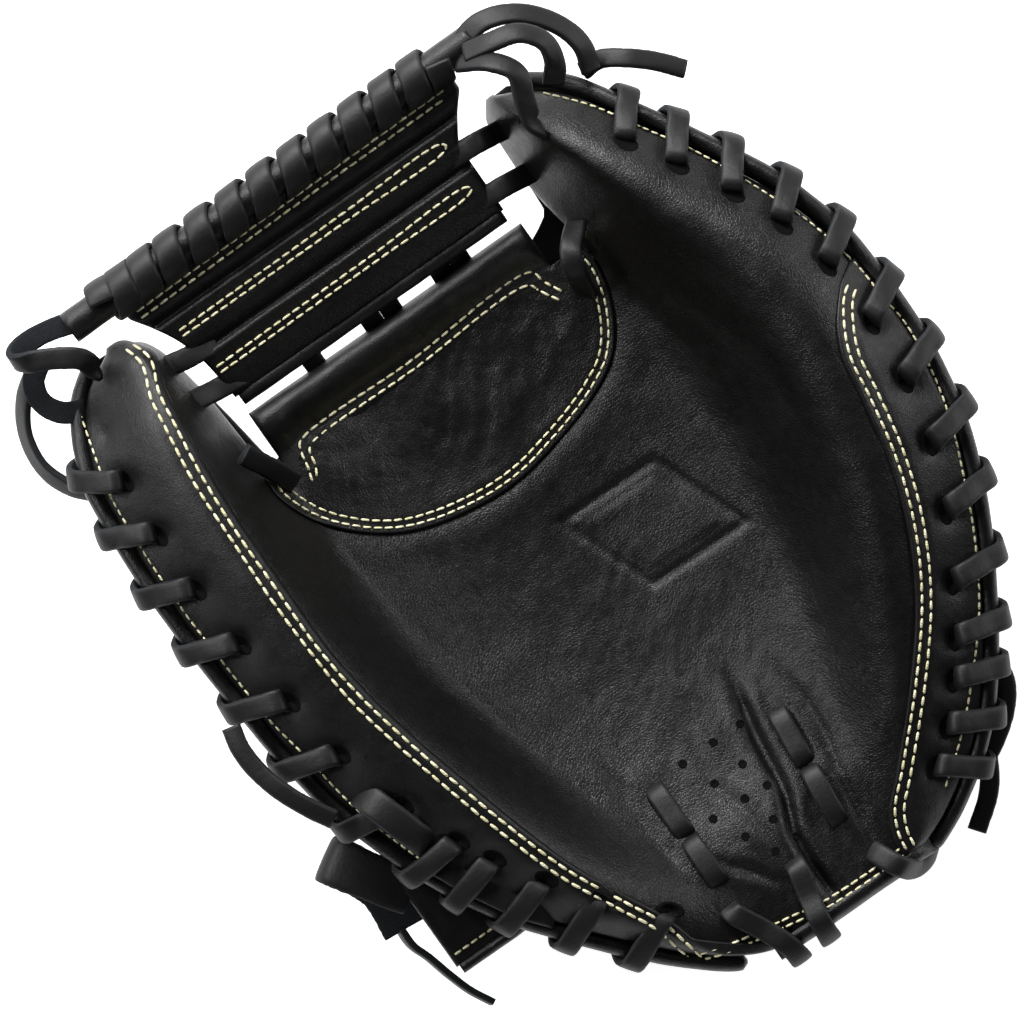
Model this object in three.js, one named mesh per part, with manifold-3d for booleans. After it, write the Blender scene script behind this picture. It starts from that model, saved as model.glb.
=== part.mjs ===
// Catcher's mitt for the left hand, lying on its back with the palm up.
// Millimetres. +X runs from the thumb to the little finger, +Y from the heel to the web,
// and +Z out of the palm. The surface that it lies on is z = 0.
import * as THREE from 'three';
import { mergeVertices } from 'three/addons/utils/BufferGeometryUtils.js';
import Module from 'manifold-3d';

const wasm = await Module();
wasm.setup();

// ---------- driving dimensions ----------
const CENTRE = new THREE.Vector3(12.35, -17.75, 0); // middle of the plan, moved to x = y = 0
const LEATHER = 3; // thickness of the palm and back leathers
const PANEL_GAP = 0.8; // between leathers that are sewn edge to edge
const LAYER_GAP = 2.2; // between stacked layers
const WELT_R = 2.8; // rolled leather piping at the edge
const LACE_W = 6.8; // rawhide lace
const LACE_T = 2.2;
const SHELL_T = 4; // padded back leather
const HAND_ROOM_Z = 25.5; // top of the space for the hand
const RAIL_R = 5.1; // rolled top of the web
const HEEL_Y = -158;
const THUMB_TOP_Y = 110;
const FINGER_TOP_Y = 107;
const LIP_Y = [51.4, 69.4]; // the rolled flap along the pocket's upper edge
const WEB_T = 4.4;
const STRAP_Y = [-104, -68]; // wrist strap
const FOLD_FROM = new THREE.Vector3(6, -160, 58); // line that the mitt folds about
const FOLD_TO = new THREE.Vector3(-62, 105, 74);

// ---------- colours ----------
const leatherBlack = new THREE.MeshStandardMaterial({ color: 0x1b1a1c, roughness: 0.5 });
const palmBlack = new THREE.MeshStandardMaterial({ color: 0x201f21, roughness: 0.55 });
const weltBlack = new THREE.MeshStandardMaterial({ color: 0x141416, roughness: 0.45 });
const laceBlack = new THREE.MeshStandardMaterial({ color: 0x232429, roughness: 0.8 });
const feltGrey = new THREE.MeshStandardMaterial({ color: 0x8b8780, roughness: 0.95 });
const liningTan = new THREE.MeshStandardMaterial({ color: 0x3a3836, roughness: 0.85 });

// ---------- small tools ----------
const mix = (a, b, t) => a + (b - a) * t;
const clamp = (x, low, high) => Math.min(Math.max(x, low), high);
const point = (x, y, z) => new THREE.Vector3(x, y, z);

/** A smooth curve through [input, output] pairs that never overshoots them. */
function curve(points) {
  const last = points.length - 1;
  const slope = points.slice(1).map(([x, y], i) => (y - points[i][1]) / (x - points[i][0]));
  const tangent = points.map((_, i) => {
    if (i === 0) return slope[0];
    if (i === last) return slope[last - 1];
    const [a, b] = [slope[i - 1], slope[i]];
    return a * b <= 0 ? 0 : (2 * a * b) / (a + b);
  });
  return (input) => {
    const x = clamp(input, points[0][0], points[last][0]);
    let i = 0;
    while (i < last - 1 && x > points[i + 1][0]) i += 1;
    const width = points[i + 1][0] - points[i][0];
    const t = (x - points[i][0]) / width;
    const s = 1 - t;
    return points[i][1] * s * s * (1 + 2 * t) + points[i + 1][1] * t * t * (1 + 2 * s)
      + width * (tangent[i] * t * s * s - tangent[i + 1] * s * t * t);
  };
}

/** Six times the volume of a closed geometry, negative when its faces point inwards. */
function signedVolume(geometry) {
  const at = geometry.attributes.position;
  const index = geometry.index.array;
  const [a, b, c] = [point(0, 0, 0), point(0, 0, 0), point(0, 0, 0)];
  let sum = 0;
  for (let i = 0; i < index.length; i += 3) {
    a.fromBufferAttribute(at, index[i]);
    b.fromBufferAttribute(at, index[i + 1]);
    c.fromBufferAttribute(at, index[i + 2]);
    sum += a.dot(b.cross(c));
  }
  return sum;
}

/** A geometry with only positions and shared vertices, its faces pointing out. */
function closed(geometry) {
  geometry.deleteAttribute('normal');
  geometry.deleteAttribute('uv');
  const merged = mergeVertices(geometry, 1e-4);
  if (signedVolume(merged) < 0) {
    const index = merged.index.array;
    for (let i = 0; i < index.length; i += 3) [index[i], index[i + 1]] = [index[i + 1], index[i]];
  }
  return merged;
}

/** A box of nu by nv by nw cells whose points (u, v, w), from 0 to 1, go to place(u, v, w). */
function bend(nu, nv, nw, place) {
  const box = new THREE.BoxGeometry(1, 1, 1, nu, nv, nw);
  box.deleteAttribute('normal');
  box.deleteAttribute('uv');
  const merged = mergeVertices(box, 1e-4);
  const at = merged.attributes.position;
  for (let i = 0; i < at.count; i += 1) {
    at.setXYZ(i, ...place(at.getX(i) + 0.5, at.getY(i) + 0.5, at.getZ(i) + 0.5).toArray());
  }
  return closed(merged);
}

/** A flat band along path(t), which gives a point and the direction that its face looks in. */
function band(steps, width, thickness, path) {
  const step = 1e-3;
  return bend(steps, 1, 1, (t, across, through) => {
    const { at, out } = path(t);
    const before = path(Math.max(t - step, 0)).at;
    const along = path(Math.min(t + step, 1)).at.clone().sub(before).normalize();
    const side = along.clone().cross(out).normalize();
    const face = side.clone().cross(along);
    return at.clone().addScaledVector(side, (across - 0.5) * width)
      .addScaledVector(face, (through - 0.5) * thickness);
  });
}

/** A band over hand-placed points, its face looking along out. */
function strip(points, width, thickness, out, steps = points.length * 2) {
  const line = new THREE.CatmullRomCurve3(points, false, 'centripetal');
  return band(steps, width, thickness, (t) => ({ at: line.getPoint(t), out: out(t) }));
}

/** A round tube along a curve, with closed ends. */
function tube(line, radius, steps, sides = 8) {
  const circle = new THREE.Shape().absarc(0, 0, radius, 0, Math.PI * 2); // 2 sides a segment
  return closed(new THREE.ExtrudeGeometry(circle, {
    steps, curveSegments: sides / 2, bevelEnabled: false, extrudePath: line,
  }));
}

const asSolid = (geometry) => new wasm.Manifold(new wasm.Mesh({
  numProp: 3,
  vertProperties: new Float32Array(geometry.attributes.position.array),
  triVerts: new Uint32Array(geometry.index.array),
}));

/** The geometry with each of the others cut out of it, without the crumbs that this leaves. */
function cut(geometry, ...others) {
  let solid = asSolid(geometry);
  for (const other of others) solid = solid.subtract(asSolid(other));
  const [largest] = solid.decompose().sort((a, b) => b.volume() - a.volume());
  const { vertProperties, triVerts } = largest.getMesh();
  const result = new THREE.BufferGeometry();
  result.setAttribute('position', new THREE.BufferAttribute(vertProperties, 3));
  result.setIndex(new THREE.BufferAttribute(triVerts, 1));
  return result;
}

const mitt = new THREE.Group();
mitt.position.copy(CENTRE).negate();

function part(name, geometry, material) {
  const mesh = new THREE.Mesh(geometry, material);
  mesh.name = name;
  mitt.add(mesh);
}

// ---------- outlines: x as a function of y ----------
const thumbEdgeX = curve([[-160, -12], [-156, -21], [-148, -32], [-132, -48], [-118, -60],
  [-98, -75], [-72, -88], [-40, -98], [-10, -102], [40, -104.5], [75, -102.5], [90, -97.5],
  [103, -89], [110, -79]]);
const thumbSeamX = curve([[-160, -8], [-150, -25], [-130, -37], [-100, -51.5], [-60, -63.5],
  [-20, -72.5], [10, -74.5], [40, -74.5], [80, -71], [100, -67], [110, -72]]);
const thumbInnerX = curve([[31, -51], [50, -55], [80, -57], [98, -60], [105, -63], [110, -70]]);
const thumbWallX = curve([[-160, 0], [-110, -22], [-60, -38], [0, -48], [50, -50], [110, -52]]);
const floorX = curve([[-160, 14], [-60, 8], [0, 8], [60, 6], [110, 4]]);
const fingerWallX = curve([[-160, 28], [-110, 42], [-60, 56], [0, 64], [50, 62], [110, 56]]);
const fingerCrestX = curve([[-160, 38], [-120, 63], [-80, 85], [-45, 98], [0, 105], [20, 103],
  [50, 90], [75, 80], [95, 71], [107, 67]]);
const fingerEdgeX = curve([[-160, 44], [-154, 58], [-141, 77], [-128, 89], [-106, 104],
  [-78, 119], [-48, 129], [-20, 132], [5, 131], [30, 125], [54, 113.5], [78, 99.5],
  [95, 89], [103, 80], [107, 73]]);
const fingerSeamX = curve([[-160, 38], [-150, 41], [-135, 51.5], [-115, 71], [-95, 87],
  [-75, 98], [-55, 105], [-35, 109], [-22, 111.5], [-13, 115], [-6, 120], [-1, 127]]);
const fingerInnerX = curve([[31, 60], [50, 64.5], [67, 62], [80, 60.5], [100, 61], [107, 65]]);
const foldX = (y) => mix(FOLD_FROM.x, FOLD_TO.x, (y - FOLD_FROM.y) / (FOLD_TO.y - FOLD_FROM.y));

// ---------- heights: z as a function of y ----------
const thumbEdgeZ = curve([[-160, 48], [-120, 60], [-60, 69], [20, 72], [80, 68], [110, 60]]);
const thumbCrestZ = curve([[-160, 52], [-120, 69], [-60, 82], [20, 88], [70, 85], [100, 76],
  [110, 68]]);
const floorZ = curve([[-160, 56], [-130, 55], [-100, 48], [-60, 41], [-15, 38], [25, 38],
  [60, 42]]);
const fingerCrestZ = curve([[-160, 54], [-110, 69], [-60, 81], [0, 88], [60, 84], [95, 75],
  [107, 66]]);
const fingerEdgeZ = curve([[-160, 48], [-110, 60], [-50, 71], [20, 73], [80, 68], [107, 60]]);
const baseZ = curve([[-160, 10], [-125, 1.5], [-112, 0], [45, 0], [60, 3], [80, 14], [110, 42]]);
const WALL_SHARE = 0.24; // how far up the pocket's side the wall points are

/** Height of the palm side's outer surface. */
function palmZ(x, y) {
  const floor = floorZ(y);
  return curve([
    [thumbEdgeX(y), thumbEdgeZ(y)],
    [thumbSeamX(y), thumbCrestZ(y)],
    [thumbWallX(y), mix(floor, thumbCrestZ(y), WALL_SHARE)],
    [floorX(y), floor],
    [fingerWallX(y), mix(floor, fingerCrestZ(y), WALL_SHARE)],
    [fingerCrestX(y), fingerCrestZ(y)],
    [fingerEdgeX(y), fingerEdgeZ(y)],
  ])(x);
}

const BACK_FLAT_X = [-44, 62]; // where the back is flat
const BACK_DROP = 6; // the back leather meets the edge this far below the piping's centre
const BACK_POWER = 1.7;
const THUMB_LIFT = 6.5; // how much higher the thumb's back is where the strap passes below it
const thumbLift = curve([[-60, THUMB_LIFT], [-38, 0.4]]);

/** Height of the back's outer surface. */
function backZ(x, y) {
  const thumbSide = x < floorX(y);
  const flat = thumbSide ? BACK_FLAT_X[0] : BACK_FLAT_X[1];
  const edge = thumbSide ? thumbEdgeX(y) : fingerEdgeX(y);
  const rim = (thumbSide ? thumbEdgeZ(y) : fingerEdgeZ(y)) - BACK_DROP;
  const out = clamp((x - flat) / (edge - flat), 0, 1);
  const base = baseZ(y) + (thumbSide ? thumbLift(y) : 0);
  return Math.abs(edge) > Math.abs(flat) ? mix(base, rim, out ** BACK_POWER) : base;
}

/** A layer between top(x, y) and bottom(x, y), from left(y) to right(y) in each row of y. */
function layer(nu, nv, rowY, left, right, top, bottom) {
  return bend(nu, nv, 1, (u, v, w) => {
    const y = rowY(v, u);
    const x = mix(left(y), right(y), u);
    return point(x, y, mix(bottom(x, y), top(x, y), w));
  });
}
/** An outline moved inwards by a distance measured square to it. */
const inset = (edgeX, distance) => (y) => {
  const slope = edgeX(y + 1) - edgeX(y - 1);
  return edgeX(y) + distance * Math.hypot(1, slope / 2);
};
const rows = (from, to) => (v) => mix(from, to, v);
const below = (surface, depth) => (x, y) => surface(x, y) - depth;
const above = (surface, height) => (x, y) => surface(x, y) + height;

// ---------- edge lacing: a lace that winds round the rim through holes ----------
// One turn, as [distance in from the piping's centre, height over it].
const LACE_TURN = [[13.5, 1], [11.8, 9.8], [6, 8.6], [0.5, 6], [-4.6, 2.2], [-4.8, -4],
  [-1.2, -11.5], [5, -19], [9.6, -23.4], [12.6, -16], [14, -7]];
const TURN_STEPS = 8;
const THUMB_HOLES_Y = [-139, -123, -108, -92, -80, -60, -34, -11, 12, 34, 55, 75, 92];
const FINGER_HOLES_Y = [-149, -140, -128, -117, -102, -82, -61, -39, -17, 6, 26, 44, 61, 76,
  89];

/** The winding lace's centre and outward direction, t from 0 to 1 over all its turns. */
function edgeLacePath(holes, edgeX, edgeZ, inward) {
  const turn = new THREE.CatmullRomCurve3(LACE_TURN.map(([a, z]) => point(a, 0, z)), true);
  const turns = holes.length - 1;
  const alongY = curve(holes.map((y, i) => [i, y]));
  const middle = point(4, 0, -6);
  return (t) => {
    const count = t * turns;
    const y = alongY(count);
    const round = count % 1;
    const local = turn.getPoint(round);
    const slope = (edgeX(y + 1) - edgeX(y - 1)) / 2;
    const across = point(inward, -inward * slope, 0).normalize();
    const place = (p) => across.clone().multiplyScalar(p.x).setZ(p.z);
    const at = point(edgeX(y), y, edgeZ(y)).add(place(local));
    return { at, out: place(local.clone().sub(middle)).normalize() };
  };
}
const thumbLacePath = edgeLacePath(THUMB_HOLES_Y, thumbEdgeX, thumbEdgeZ, 1);
const fingerLacePath = edgeLacePath(FINGER_HOLES_Y, fingerEdgeX, fingerEdgeZ, -1);
const thumbTurns = (THUMB_HOLES_Y.length - 1) * TURN_STEPS;
const fingerTurns = (FINGER_HOLES_Y.length - 1) * TURN_STEPS;
const holes = (turns, path) => [[2, 2.2], [0.6, 0.8], [0.3, 0.3]]
  .map(([wider, thicker]) => band(turns, LACE_W + wider, LACE_T + thicker, path));
const thumbHoles = holes(thumbTurns, thumbLacePath);
const fingerHoles = holes(fingerTurns, fingerLacePath);

part('thumb_edge_lace', band(thumbTurns, LACE_W, LACE_T, thumbLacePath), laceBlack);
part('finger_edge_lace', band(fingerTurns, LACE_W, LACE_T, fingerLacePath), laceBlack);

// ---------- palm side leathers ----------
const SEAM_TOP_Y = 31; // the palm leather ends here beside the pocket panel
const pocketSeamY = curve([[-55, SEAM_TOP_Y], [-50, SEAM_TOP_Y], [-40, 20], [-28, 12.5],
  [-12, 8], [0, 7], [18, 9], [38, 15], [50, 21], [57, SEAM_TOP_Y], [62, SEAM_TOP_Y]]);
const FINGER_PANEL_TOP_Y = -5;
const besideThumbWelt = inset(thumbEdgeX, WELT_R + PANEL_GAP);
const besideFingerWelt = inset(fingerEdgeX, -WELT_R - PANEL_GAP);
const fingerPanelX = (y) => Math.min(fingerSeamX(y), besideFingerWelt(y) - 3);
const palmRightX = (y) => (y < -1 ? fingerPanelX(y) : besideFingerWelt(y));

const thumbPanelX = (y) => Math.max(thumbSeamX(y), besideThumbWelt(y) + 3);
part('palm_leather', cut(layer(17, 14,
  (v, u) => mix(HEEL_Y, pocketSeamY(mix(-74, 124, u)), v),
  (y) => thumbPanelX(y) + 2 * PANEL_GAP, (y) => palmRightX(y) - 2 * PANEL_GAP,
  palmZ, below(palmZ, LEATHER)), ...thumbHoles, ...fingerHoles), palmBlack);

const POCKET_PANEL_X = [-49, 56];
part('pocket_panel', bend(10, 4, 1, (u, v, w) => {
  const x = mix(POCKET_PANEL_X[0], POCKET_PANEL_X[1], u);
  const y = mix(pocketSeamY(x) + 2.6, LIP_Y[0] - PANEL_GAP, v);
  return point(x, y, palmZ(x, y) - LEATHER * (1 - w));
}), palmBlack);

part('thumb_panel', cut(layer(3, 20, rows(HEEL_Y, THUMB_TOP_Y - 0.5),
  besideThumbWelt, thumbPanelX,
  palmZ, below(palmZ, LEATHER)), ...thumbHoles), leatherBlack);

part('thumb_inner_panel', layer(4, 9, rows(SEAM_TOP_Y + PANEL_GAP, THUMB_TOP_Y - 0.5),
  (y) => thumbSeamX(y) + PANEL_GAP, (y) => Math.min(thumbInnerX(y), POCKET_PANEL_X[0] - 1),
  palmZ, below(palmZ, LEATHER)), palmBlack);

part('finger_panel', cut(layer(3, 16, rows(HEEL_Y, FINGER_PANEL_TOP_Y),
  fingerPanelX, besideFingerWelt,
  palmZ, below(palmZ, LEATHER)), ...fingerHoles), leatherBlack);

part('finger_front_panel', cut(layer(6, 9, rows(SEAM_TOP_Y + PANEL_GAP, FINGER_TOP_Y - 0.5),
  fingerInnerX, besideFingerWelt,
  palmZ, below(palmZ, LEATHER)), ...fingerHoles), palmBlack);

// The rolled flap: a padded roll that follows the pocket's curve.
part('pocket_lip', bend(11, 4, 1, (u, v, w) => {
  const x = mix(-48, 50, u);
  const y = mix(LIP_Y[0], LIP_Y[1], v);
  const bulge = Math.sin(Math.PI * mix(0.12, 0.88, v));
  return point(x, y, palmZ(x, LIP_Y[0]) + mix(-5 - 2 * bulge, 1 + 9 * bulge, w));
}), leatherBlack);

// ---------- piping and the heel's binding ----------
const edgeLine = (edgeX, edgeZ, from, to, count) => new THREE.CatmullRomCurve3(
  Array.from({ length: count }, (_, i) => {
    const y = mix(from, to, i / (count - 1));
    return point(edgeX(y), y, edgeZ(y));
  }));
part('thumb_welt', tube(edgeLine(thumbEdgeX, thumbEdgeZ, -156, 109, 28), WELT_R, 30, 6),
  weltBlack);
part('finger_welt', tube(edgeLine(fingerEdgeX, fingerEdgeZ, -157, 106, 28), WELT_R, 30, 6),
  weltBlack);
part('heel_binding', bend(14, 1, 1, (u, v, w) => {
  const x = mix(-10, 36, u);
  return point(x, HEEL_Y - mix(0.6, 3.4, v), palmZ(x, HEEL_Y) - mix(9, -0.5, w));
}), weltBlack);

// ---------- back leathers ----------
const thumbBackInnerX = curve([[-158, -6], [-140, -24], [-112, -40], [-60, -45], [20, -50],
  [60, -54], [98, -61], [110, -70]]);
const fingerBackInnerX = curve([[-158, 34], [-140, 48], [-112, 52], [-64, 50], [-57, 6],
  [30, 4], [52, 12], [64, 52], [70, 61], [98, 62], [107, 67]]);
part('thumb_back_shell', cut(layer(5, 20, rows(HEEL_Y, THUMB_TOP_Y - 0.5),
  (y) => thumbEdgeX(y) + 1.6, thumbBackInnerX,
  above(backZ, SHELL_T), backZ), ...thumbHoles), leatherBlack);

const INDEX_SLOT_X = [14, 34];
const INDEX_SLOT_Y = [-26, 12];
const indexSlot = bend(1, 1, 1, (u, v, w) => point(mix(...INDEX_SLOT_X, u),
  mix(...INDEX_SLOT_Y, v), mix(-5, 15, w)));
const fingerBackY = curve([[0, HEEL_Y], [0.32, -70], [0.4, -57], [0.75, 46], [0.85, 66],
  [1, FINGER_TOP_Y - 0.5]]);
part('finger_back_shell', cut(layer(7, 24, (v) => fingerBackY(v),
  fingerBackInnerX, (y) => fingerEdgeX(y) - 1.6,
  above(backZ, SHELL_T), backZ), ...fingerHoles, indexSlot), leatherBlack);

// ---------- inner walls beside the web, and behind the pocket's lip ----------
const stallWall = (innerX, inward, from, to) => bend(1, 8, 1, (u, v, w) => {
  const y = mix(from, to, v);
  const x = innerX(y) + inward * mix(0.6, 3, u);
  return point(x, y, mix(backZ(x, y) + SHELL_T + LAYER_GAP, palmZ(x, y) - LEATHER - LAYER_GAP,
    w));
});
part('thumb_inner_wall', stallWall(thumbInnerX, -1, 54, 104), leatherBlack);
part('finger_inner_wall', stallWall(fingerInnerX, 1, 70, 103), leatherBlack);
part('pocket_end_wall', bend(12, 1, 1, (u, v, w) => {
  const x = mix(-46, 50, u);
  const y = mix(63, 66, v);
  const top = palmZ(x, LIP_Y[0]) - 9;
  return point(x, y, mix(backZ(x, y) + SHELL_T + LAYER_GAP, top, w));
}), leatherBlack);

// ---------- padding and linings ----------
const padTop = below(palmZ, LEATHER + LAYER_GAP + 0.6);
const MIN_PAD = 4;
const padBottom = (room) => (x, y) => Math.min(
  Math.max(room, backZ(x, y) + SHELL_T + LAYER_GAP), padTop(x, y) - MIN_PAD);
const FOLD_GAP = 3;
const padThumbX = inset(thumbEdgeX, 17.5);
const padFingerX = inset(fingerEdgeX, -17.5);
part('palm_pad', layer(12, 12, rows(-148, 49),
  (y) => foldX(y) + FOLD_GAP, (y) => Math.max(padFingerX(y), foldX(y) + FOLD_GAP + 6),
  padTop, padBottom(HAND_ROOM_Z + 3)), feltGrey);
part('finger_pad', layer(5, 8, rows(50.5, 98),
  (y) => fingerInnerX(y) + 4.5, padFingerX,
  padTop, padBottom(HAND_ROOM_Z + 3)), feltGrey);
const THUMB_ROOM = 20;
part('thumb_pad', layer(6, 12, rows(-124, 95),
  padThumbX, (y) => Math.min(foldX(y) - FOLD_GAP, thumbInnerX(y) - 4.5),
  padTop, (x, y) => Math.min(padTop(x, y) - MIN_PAD,
    backZ(x, y) - thumbLift(y) + THUMB_LIFT + SHELL_T + THUMB_ROOM)), feltGrey);

const LINING_T = 1.4;
part('hand_lining', layer(4, 8, rows(-150, 48), (y) => foldX(y) + FOLD_GAP,
  (y) => Math.max(fingerWallX(y), 34),
  () => HAND_ROOM_Z + LINING_T, () => HAND_ROOM_Z), liningTan);
part('back_lining', layer(3, 4, rows(-54, 44), () => 40, () => 70,
  (x, y) => backZ(x, y) + SHELL_T + LAYER_GAP + LINING_T,
  (x, y) => backZ(x, y) + SHELL_T + LAYER_GAP), liningTan);

// ---------- finger loops inside ----------
const loopArch = (x0, x1, y, floor, rise) => strip(
  [point(x0, y, floor), point(mix(x0, x1, 0.15), y, floor + rise * 0.7),
    point(mix(x0, x1, 0.5), y, floor + rise), point(mix(x0, x1, 0.85), y, floor + rise * 0.7),
    point(x1, y, floor)], 14, 2, () => point(0, 0, 1), 10);
part('thumb_loop', loopArch(-66, -52, -10, 25, 8), leatherBlack);
part('little_finger_loop', loopArch(44, 68, -36, 11, 12), leatherBlack);

// ---------- wrist strap ----------
const STRAP_X = [-95, 48];
const STRAP_T = 3.4;
const STRAP_LOW = 0.6;
// The strap's lower face: flat under the back, then rising with the thumb's side.
const strapZ = (x, y) => (x < BACK_FLAT_X[0] ? backZ(x, y) - THUMB_LIFT : 0) + STRAP_LOW;
part('wrist_strap', cut(layer(20, 4, rows(...STRAP_Y), () => STRAP_X[0], () => STRAP_X[1],
  above(strapZ, STRAP_T), strapZ), ...thumbHoles), leatherBlack);
const STRAP_ROLL_R = 1.9;
const strapRollLine = [-94, -84, -74, -64, -54, -46, -38, -20, 10, 46]
  .map((x) => point(x, STRAP_Y[0] - 3.2, strapZ(x, STRAP_Y[0]) + STRAP_ROLL_R));
part('strap_edge_roll', tube(new THREE.CatmullRomCurve3(strapRollLine), STRAP_ROLL_R, 16, 6),
  weltBlack);
part('strap_pad', layer(4, 3, rows(STRAP_Y[0] + 2, STRAP_Y[1] - 2), () => -4, () => 46,
  (x, y) => strapZ(x, y) + STRAP_T + 6, (x, y) => strapZ(x, y) + STRAP_T + 0.8), feltGrey);
const loopOut = (t) => point(-Math.sin(Math.PI * t), Math.cos(Math.PI * t), 0.9).normalize();
part('strap_lace_loop', strip([point(-100, -56, 59), point(-106, -58, 59), point(-109.5, -64, 58),
  point(-109.5, -72, 55), point(-106, -79, 51), point(-100, -83, 47)], 9, 2.4, loopOut), laceBlack);

// ---------- web ----------
const WEB_TOP_Y = 113;
const WEB_LOW_Y = 78.4;
const webZ = (x, y) => {
  const up = clamp((y - 72) / 50, 0, 1);
  return 50 + 26 * up + 4 * (x / 55) ** 2 * (1 - up);
};
const webLeftX = curve([[72, -50], [88, -51.5], [98, -54], [106, -58], [113.5, -63]]);
const webRightX = curve([[72, 50], [98, 50], [106, 54], [113.5, 60]]);
part('web_front_leather', layer(10, 4, rows(WEB_LOW_Y, WEB_TOP_Y), webLeftX, webRightX,
  above(webZ, WEB_T / 2), below(webZ, WEB_T / 2)), palmBlack);
part('web_back_leather', layer(6, 4, rows(WEB_LOW_Y + 1, WEB_TOP_Y - 1),
  (y) => webLeftX(y) + 2, (y) => webRightX(y) - 2,
  below(webZ, WEB_T / 2 + 0.8), below(webZ, WEB_T / 2 + 3.4)), leatherBlack);
const WEB_ROLL_Y = 75.2;
part('web_bottom_roll', tube(new THREE.CatmullRomCurve3([-49, -30, 0, 30, 49]
  .map((x) => point(x, WEB_ROLL_Y, webZ(x, WEB_ROLL_Y)))), 2.7, 10), leatherBlack);

const RAIL_Z = 76;
const RAIL_X = [-79, 71];
const railAt = (t) => point(mix(...RAIL_X, t), mix(121.6, 123.6, t), RAIL_Z);
part('web_top_rail', tube(new THREE.LineCurve3(railAt(0), railAt(1)), RAIL_R, 2, 12),
  leatherBlack);

const WRAP_TURNS = 12;
const WRAP_X = [-66, 57];
const WRAP_T = 1.9;
const WRAP_R = RAIL_R + 0.7 + WRAP_T / 2;
part('web_wrap_lace', band(WRAP_TURNS * 10, 7.6, WRAP_T, (t) => {
  const angle = -t * WRAP_TURNS * Math.PI * 2;
  const axis = railAt((mix(...WRAP_X, t) - RAIL_X[0]) / (RAIL_X[1] - RAIL_X[0]));
  const out = point(0, Math.cos(angle), Math.sin(angle));
  return { at: axis.addScaledVector(out, WRAP_R), out };
}), laceBlack);

// Laces that bridge the web's sides and foot. Each lies on the leathers that it joins.
const up = () => point(0, 0, 1);
const onPalm = (x, y, lift = 1) => point(x, y, palmZ(x, y) + LACE_T / 2 + lift);
const onWeb = (x, y) => point(x, y, webZ(x, y) + WEB_T / 2 + LACE_T / 2 + 2);
const thumbBridge = (y) => strip([onPalm(-67, y, 3), onPalm(-62, y, 4), onWeb(-50, y - 1),
  onWeb(-44, y - 1.5)], LACE_W, LACE_T, up, 8);
part('web_lace_thumb_upper', thumbBridge(95), laceBlack);
part('web_lace_thumb_lower', thumbBridge(82), laceBlack);
const fingerBridge = (y) => strip([onWeb(42, y + 0.5), onWeb(48, y), onPalm(66, y - 1.5, 6.5),
  onPalm(71, y - 2, 5)], LACE_W, LACE_T, up, 8);
part('web_lace_finger_upper', fingerBridge(98), laceBlack);
part('web_lace_finger_lower', fingerBridge(83), laceBlack);
const lipTopZ = (x) => palmZ(x, LIP_Y[0]) + 10 + LACE_T / 2 + 0.9;
const footBridge = (x) => strip([point(x, 59, lipTopZ(x)), point(x, 66, lipTopZ(x)),
  point(x, 73, webZ(x, WEB_ROLL_Y) + 5.4), onWeb(x, 79), onWeb(x, 84)], LACE_W, LACE_T, up, 10);
part('web_lace_foot_thumb', footBridge(-24), laceBlack);
part('web_lace_foot_middle', footBridge(-2), laceBlack);
part('web_lace_foot_finger', footBridge(27), laceBlack);

// ---------- laces that anchor the pads, and the heel's laces ----------
const halfway = ([ax, ay], [bx, by]) => [mix(ax, bx, 0.5), mix(ay, by, 0.5)];
const anchorLace = (from, middle, to) => strip([from, halfway(from, middle), middle,
  halfway(middle, to), to].map(([x, y]) => onPalm(x, y)), LACE_W - 0.4, LACE_T, up, 10);
part('palm_lace_thumb', anchorLace([-14, -95], [-14, -114], [-14, -132]), laceBlack);
part('palm_lace_finger', anchorLace([30.5, -97], [28.5, -117], [26.5, -138]), laceBlack);
const heelWrap = (x0, x1) => strip([onPalm(x0, -141), onPalm(mix(x0, x1, 0.5), -150),
  onPalm(mix(x0, x1, 0.9), -158.5, 4),
  point(x1, HEEL_Y - 7, palmZ(x1, HEEL_Y) - 1),
  point(x1, HEEL_Y - 6.5, palmZ(x1, HEEL_Y) - 12)], LACE_W, LACE_T,
(t) => point(0, -clamp(t * 2 - 1, 0, 1), 1.2 - t).normalize(), 12);
part('heel_lace_thumb', heelWrap(-16, -7), laceBlack);
part('heel_lace_finger', heelWrap(8, 4), laceBlack);

// ---------- loops and ends at the corners of the web ----------
part('thumb_tip_lace', strip([point(-74, 119, RAIL_Z + 8.5), point(-86, 124, RAIL_Z + 6),
  point(-97, 125, RAIL_Z), point(-101, 119, RAIL_Z - 6), point(-95, 112, RAIL_Z - 4),
  point(-86, 106, palmZ(-86, 106) + 5)], LACE_W, LACE_T, up, 14), laceBlack);
part('thumb_tip_loop', strip([point(-99, 113, 62), point(-106, 110, 60), point(-111, 100, 58),
  point(-111, 90, 58), point(-110, 83, 60)], LACE_W, LACE_T,
() => point(-1, 0.3, 0), 10), laceBlack);
const fingerLoop = (line) => strip(line, LACE_W, LACE_T, () => point(0.5, 0.4, 1), 14);
part('finger_tip_loop_outer', fingerLoop([point(74, 126, 78), point(86, 122, 78),
  point(95, 113, 76), point(99, 104, 74), point(98, 96, 74)]), laceBlack);
part('finger_tip_loop_middle', fingerLoop([point(74, 119, 84), point(83, 117, 85),
  point(88, 110, 83), point(87, 101, 80)]), laceBlack);
part('finger_tip_loop_inner', fingerLoop([point(66, 114, 85), point(74, 112, 88),
  point(76, 104, 88), point(72, 97, 84), point(73, 91, 85)]), laceBlack);
part('lip_knot_finger', strip([onPalm(56, 40), point(57, 47, 66), point(59, 53, 68),
  point(66, 60, palmZ(66, 60) + 4)], LACE_W, LACE_T, () => point(-0.4, 0, 1), 10), laceBlack);
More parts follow.
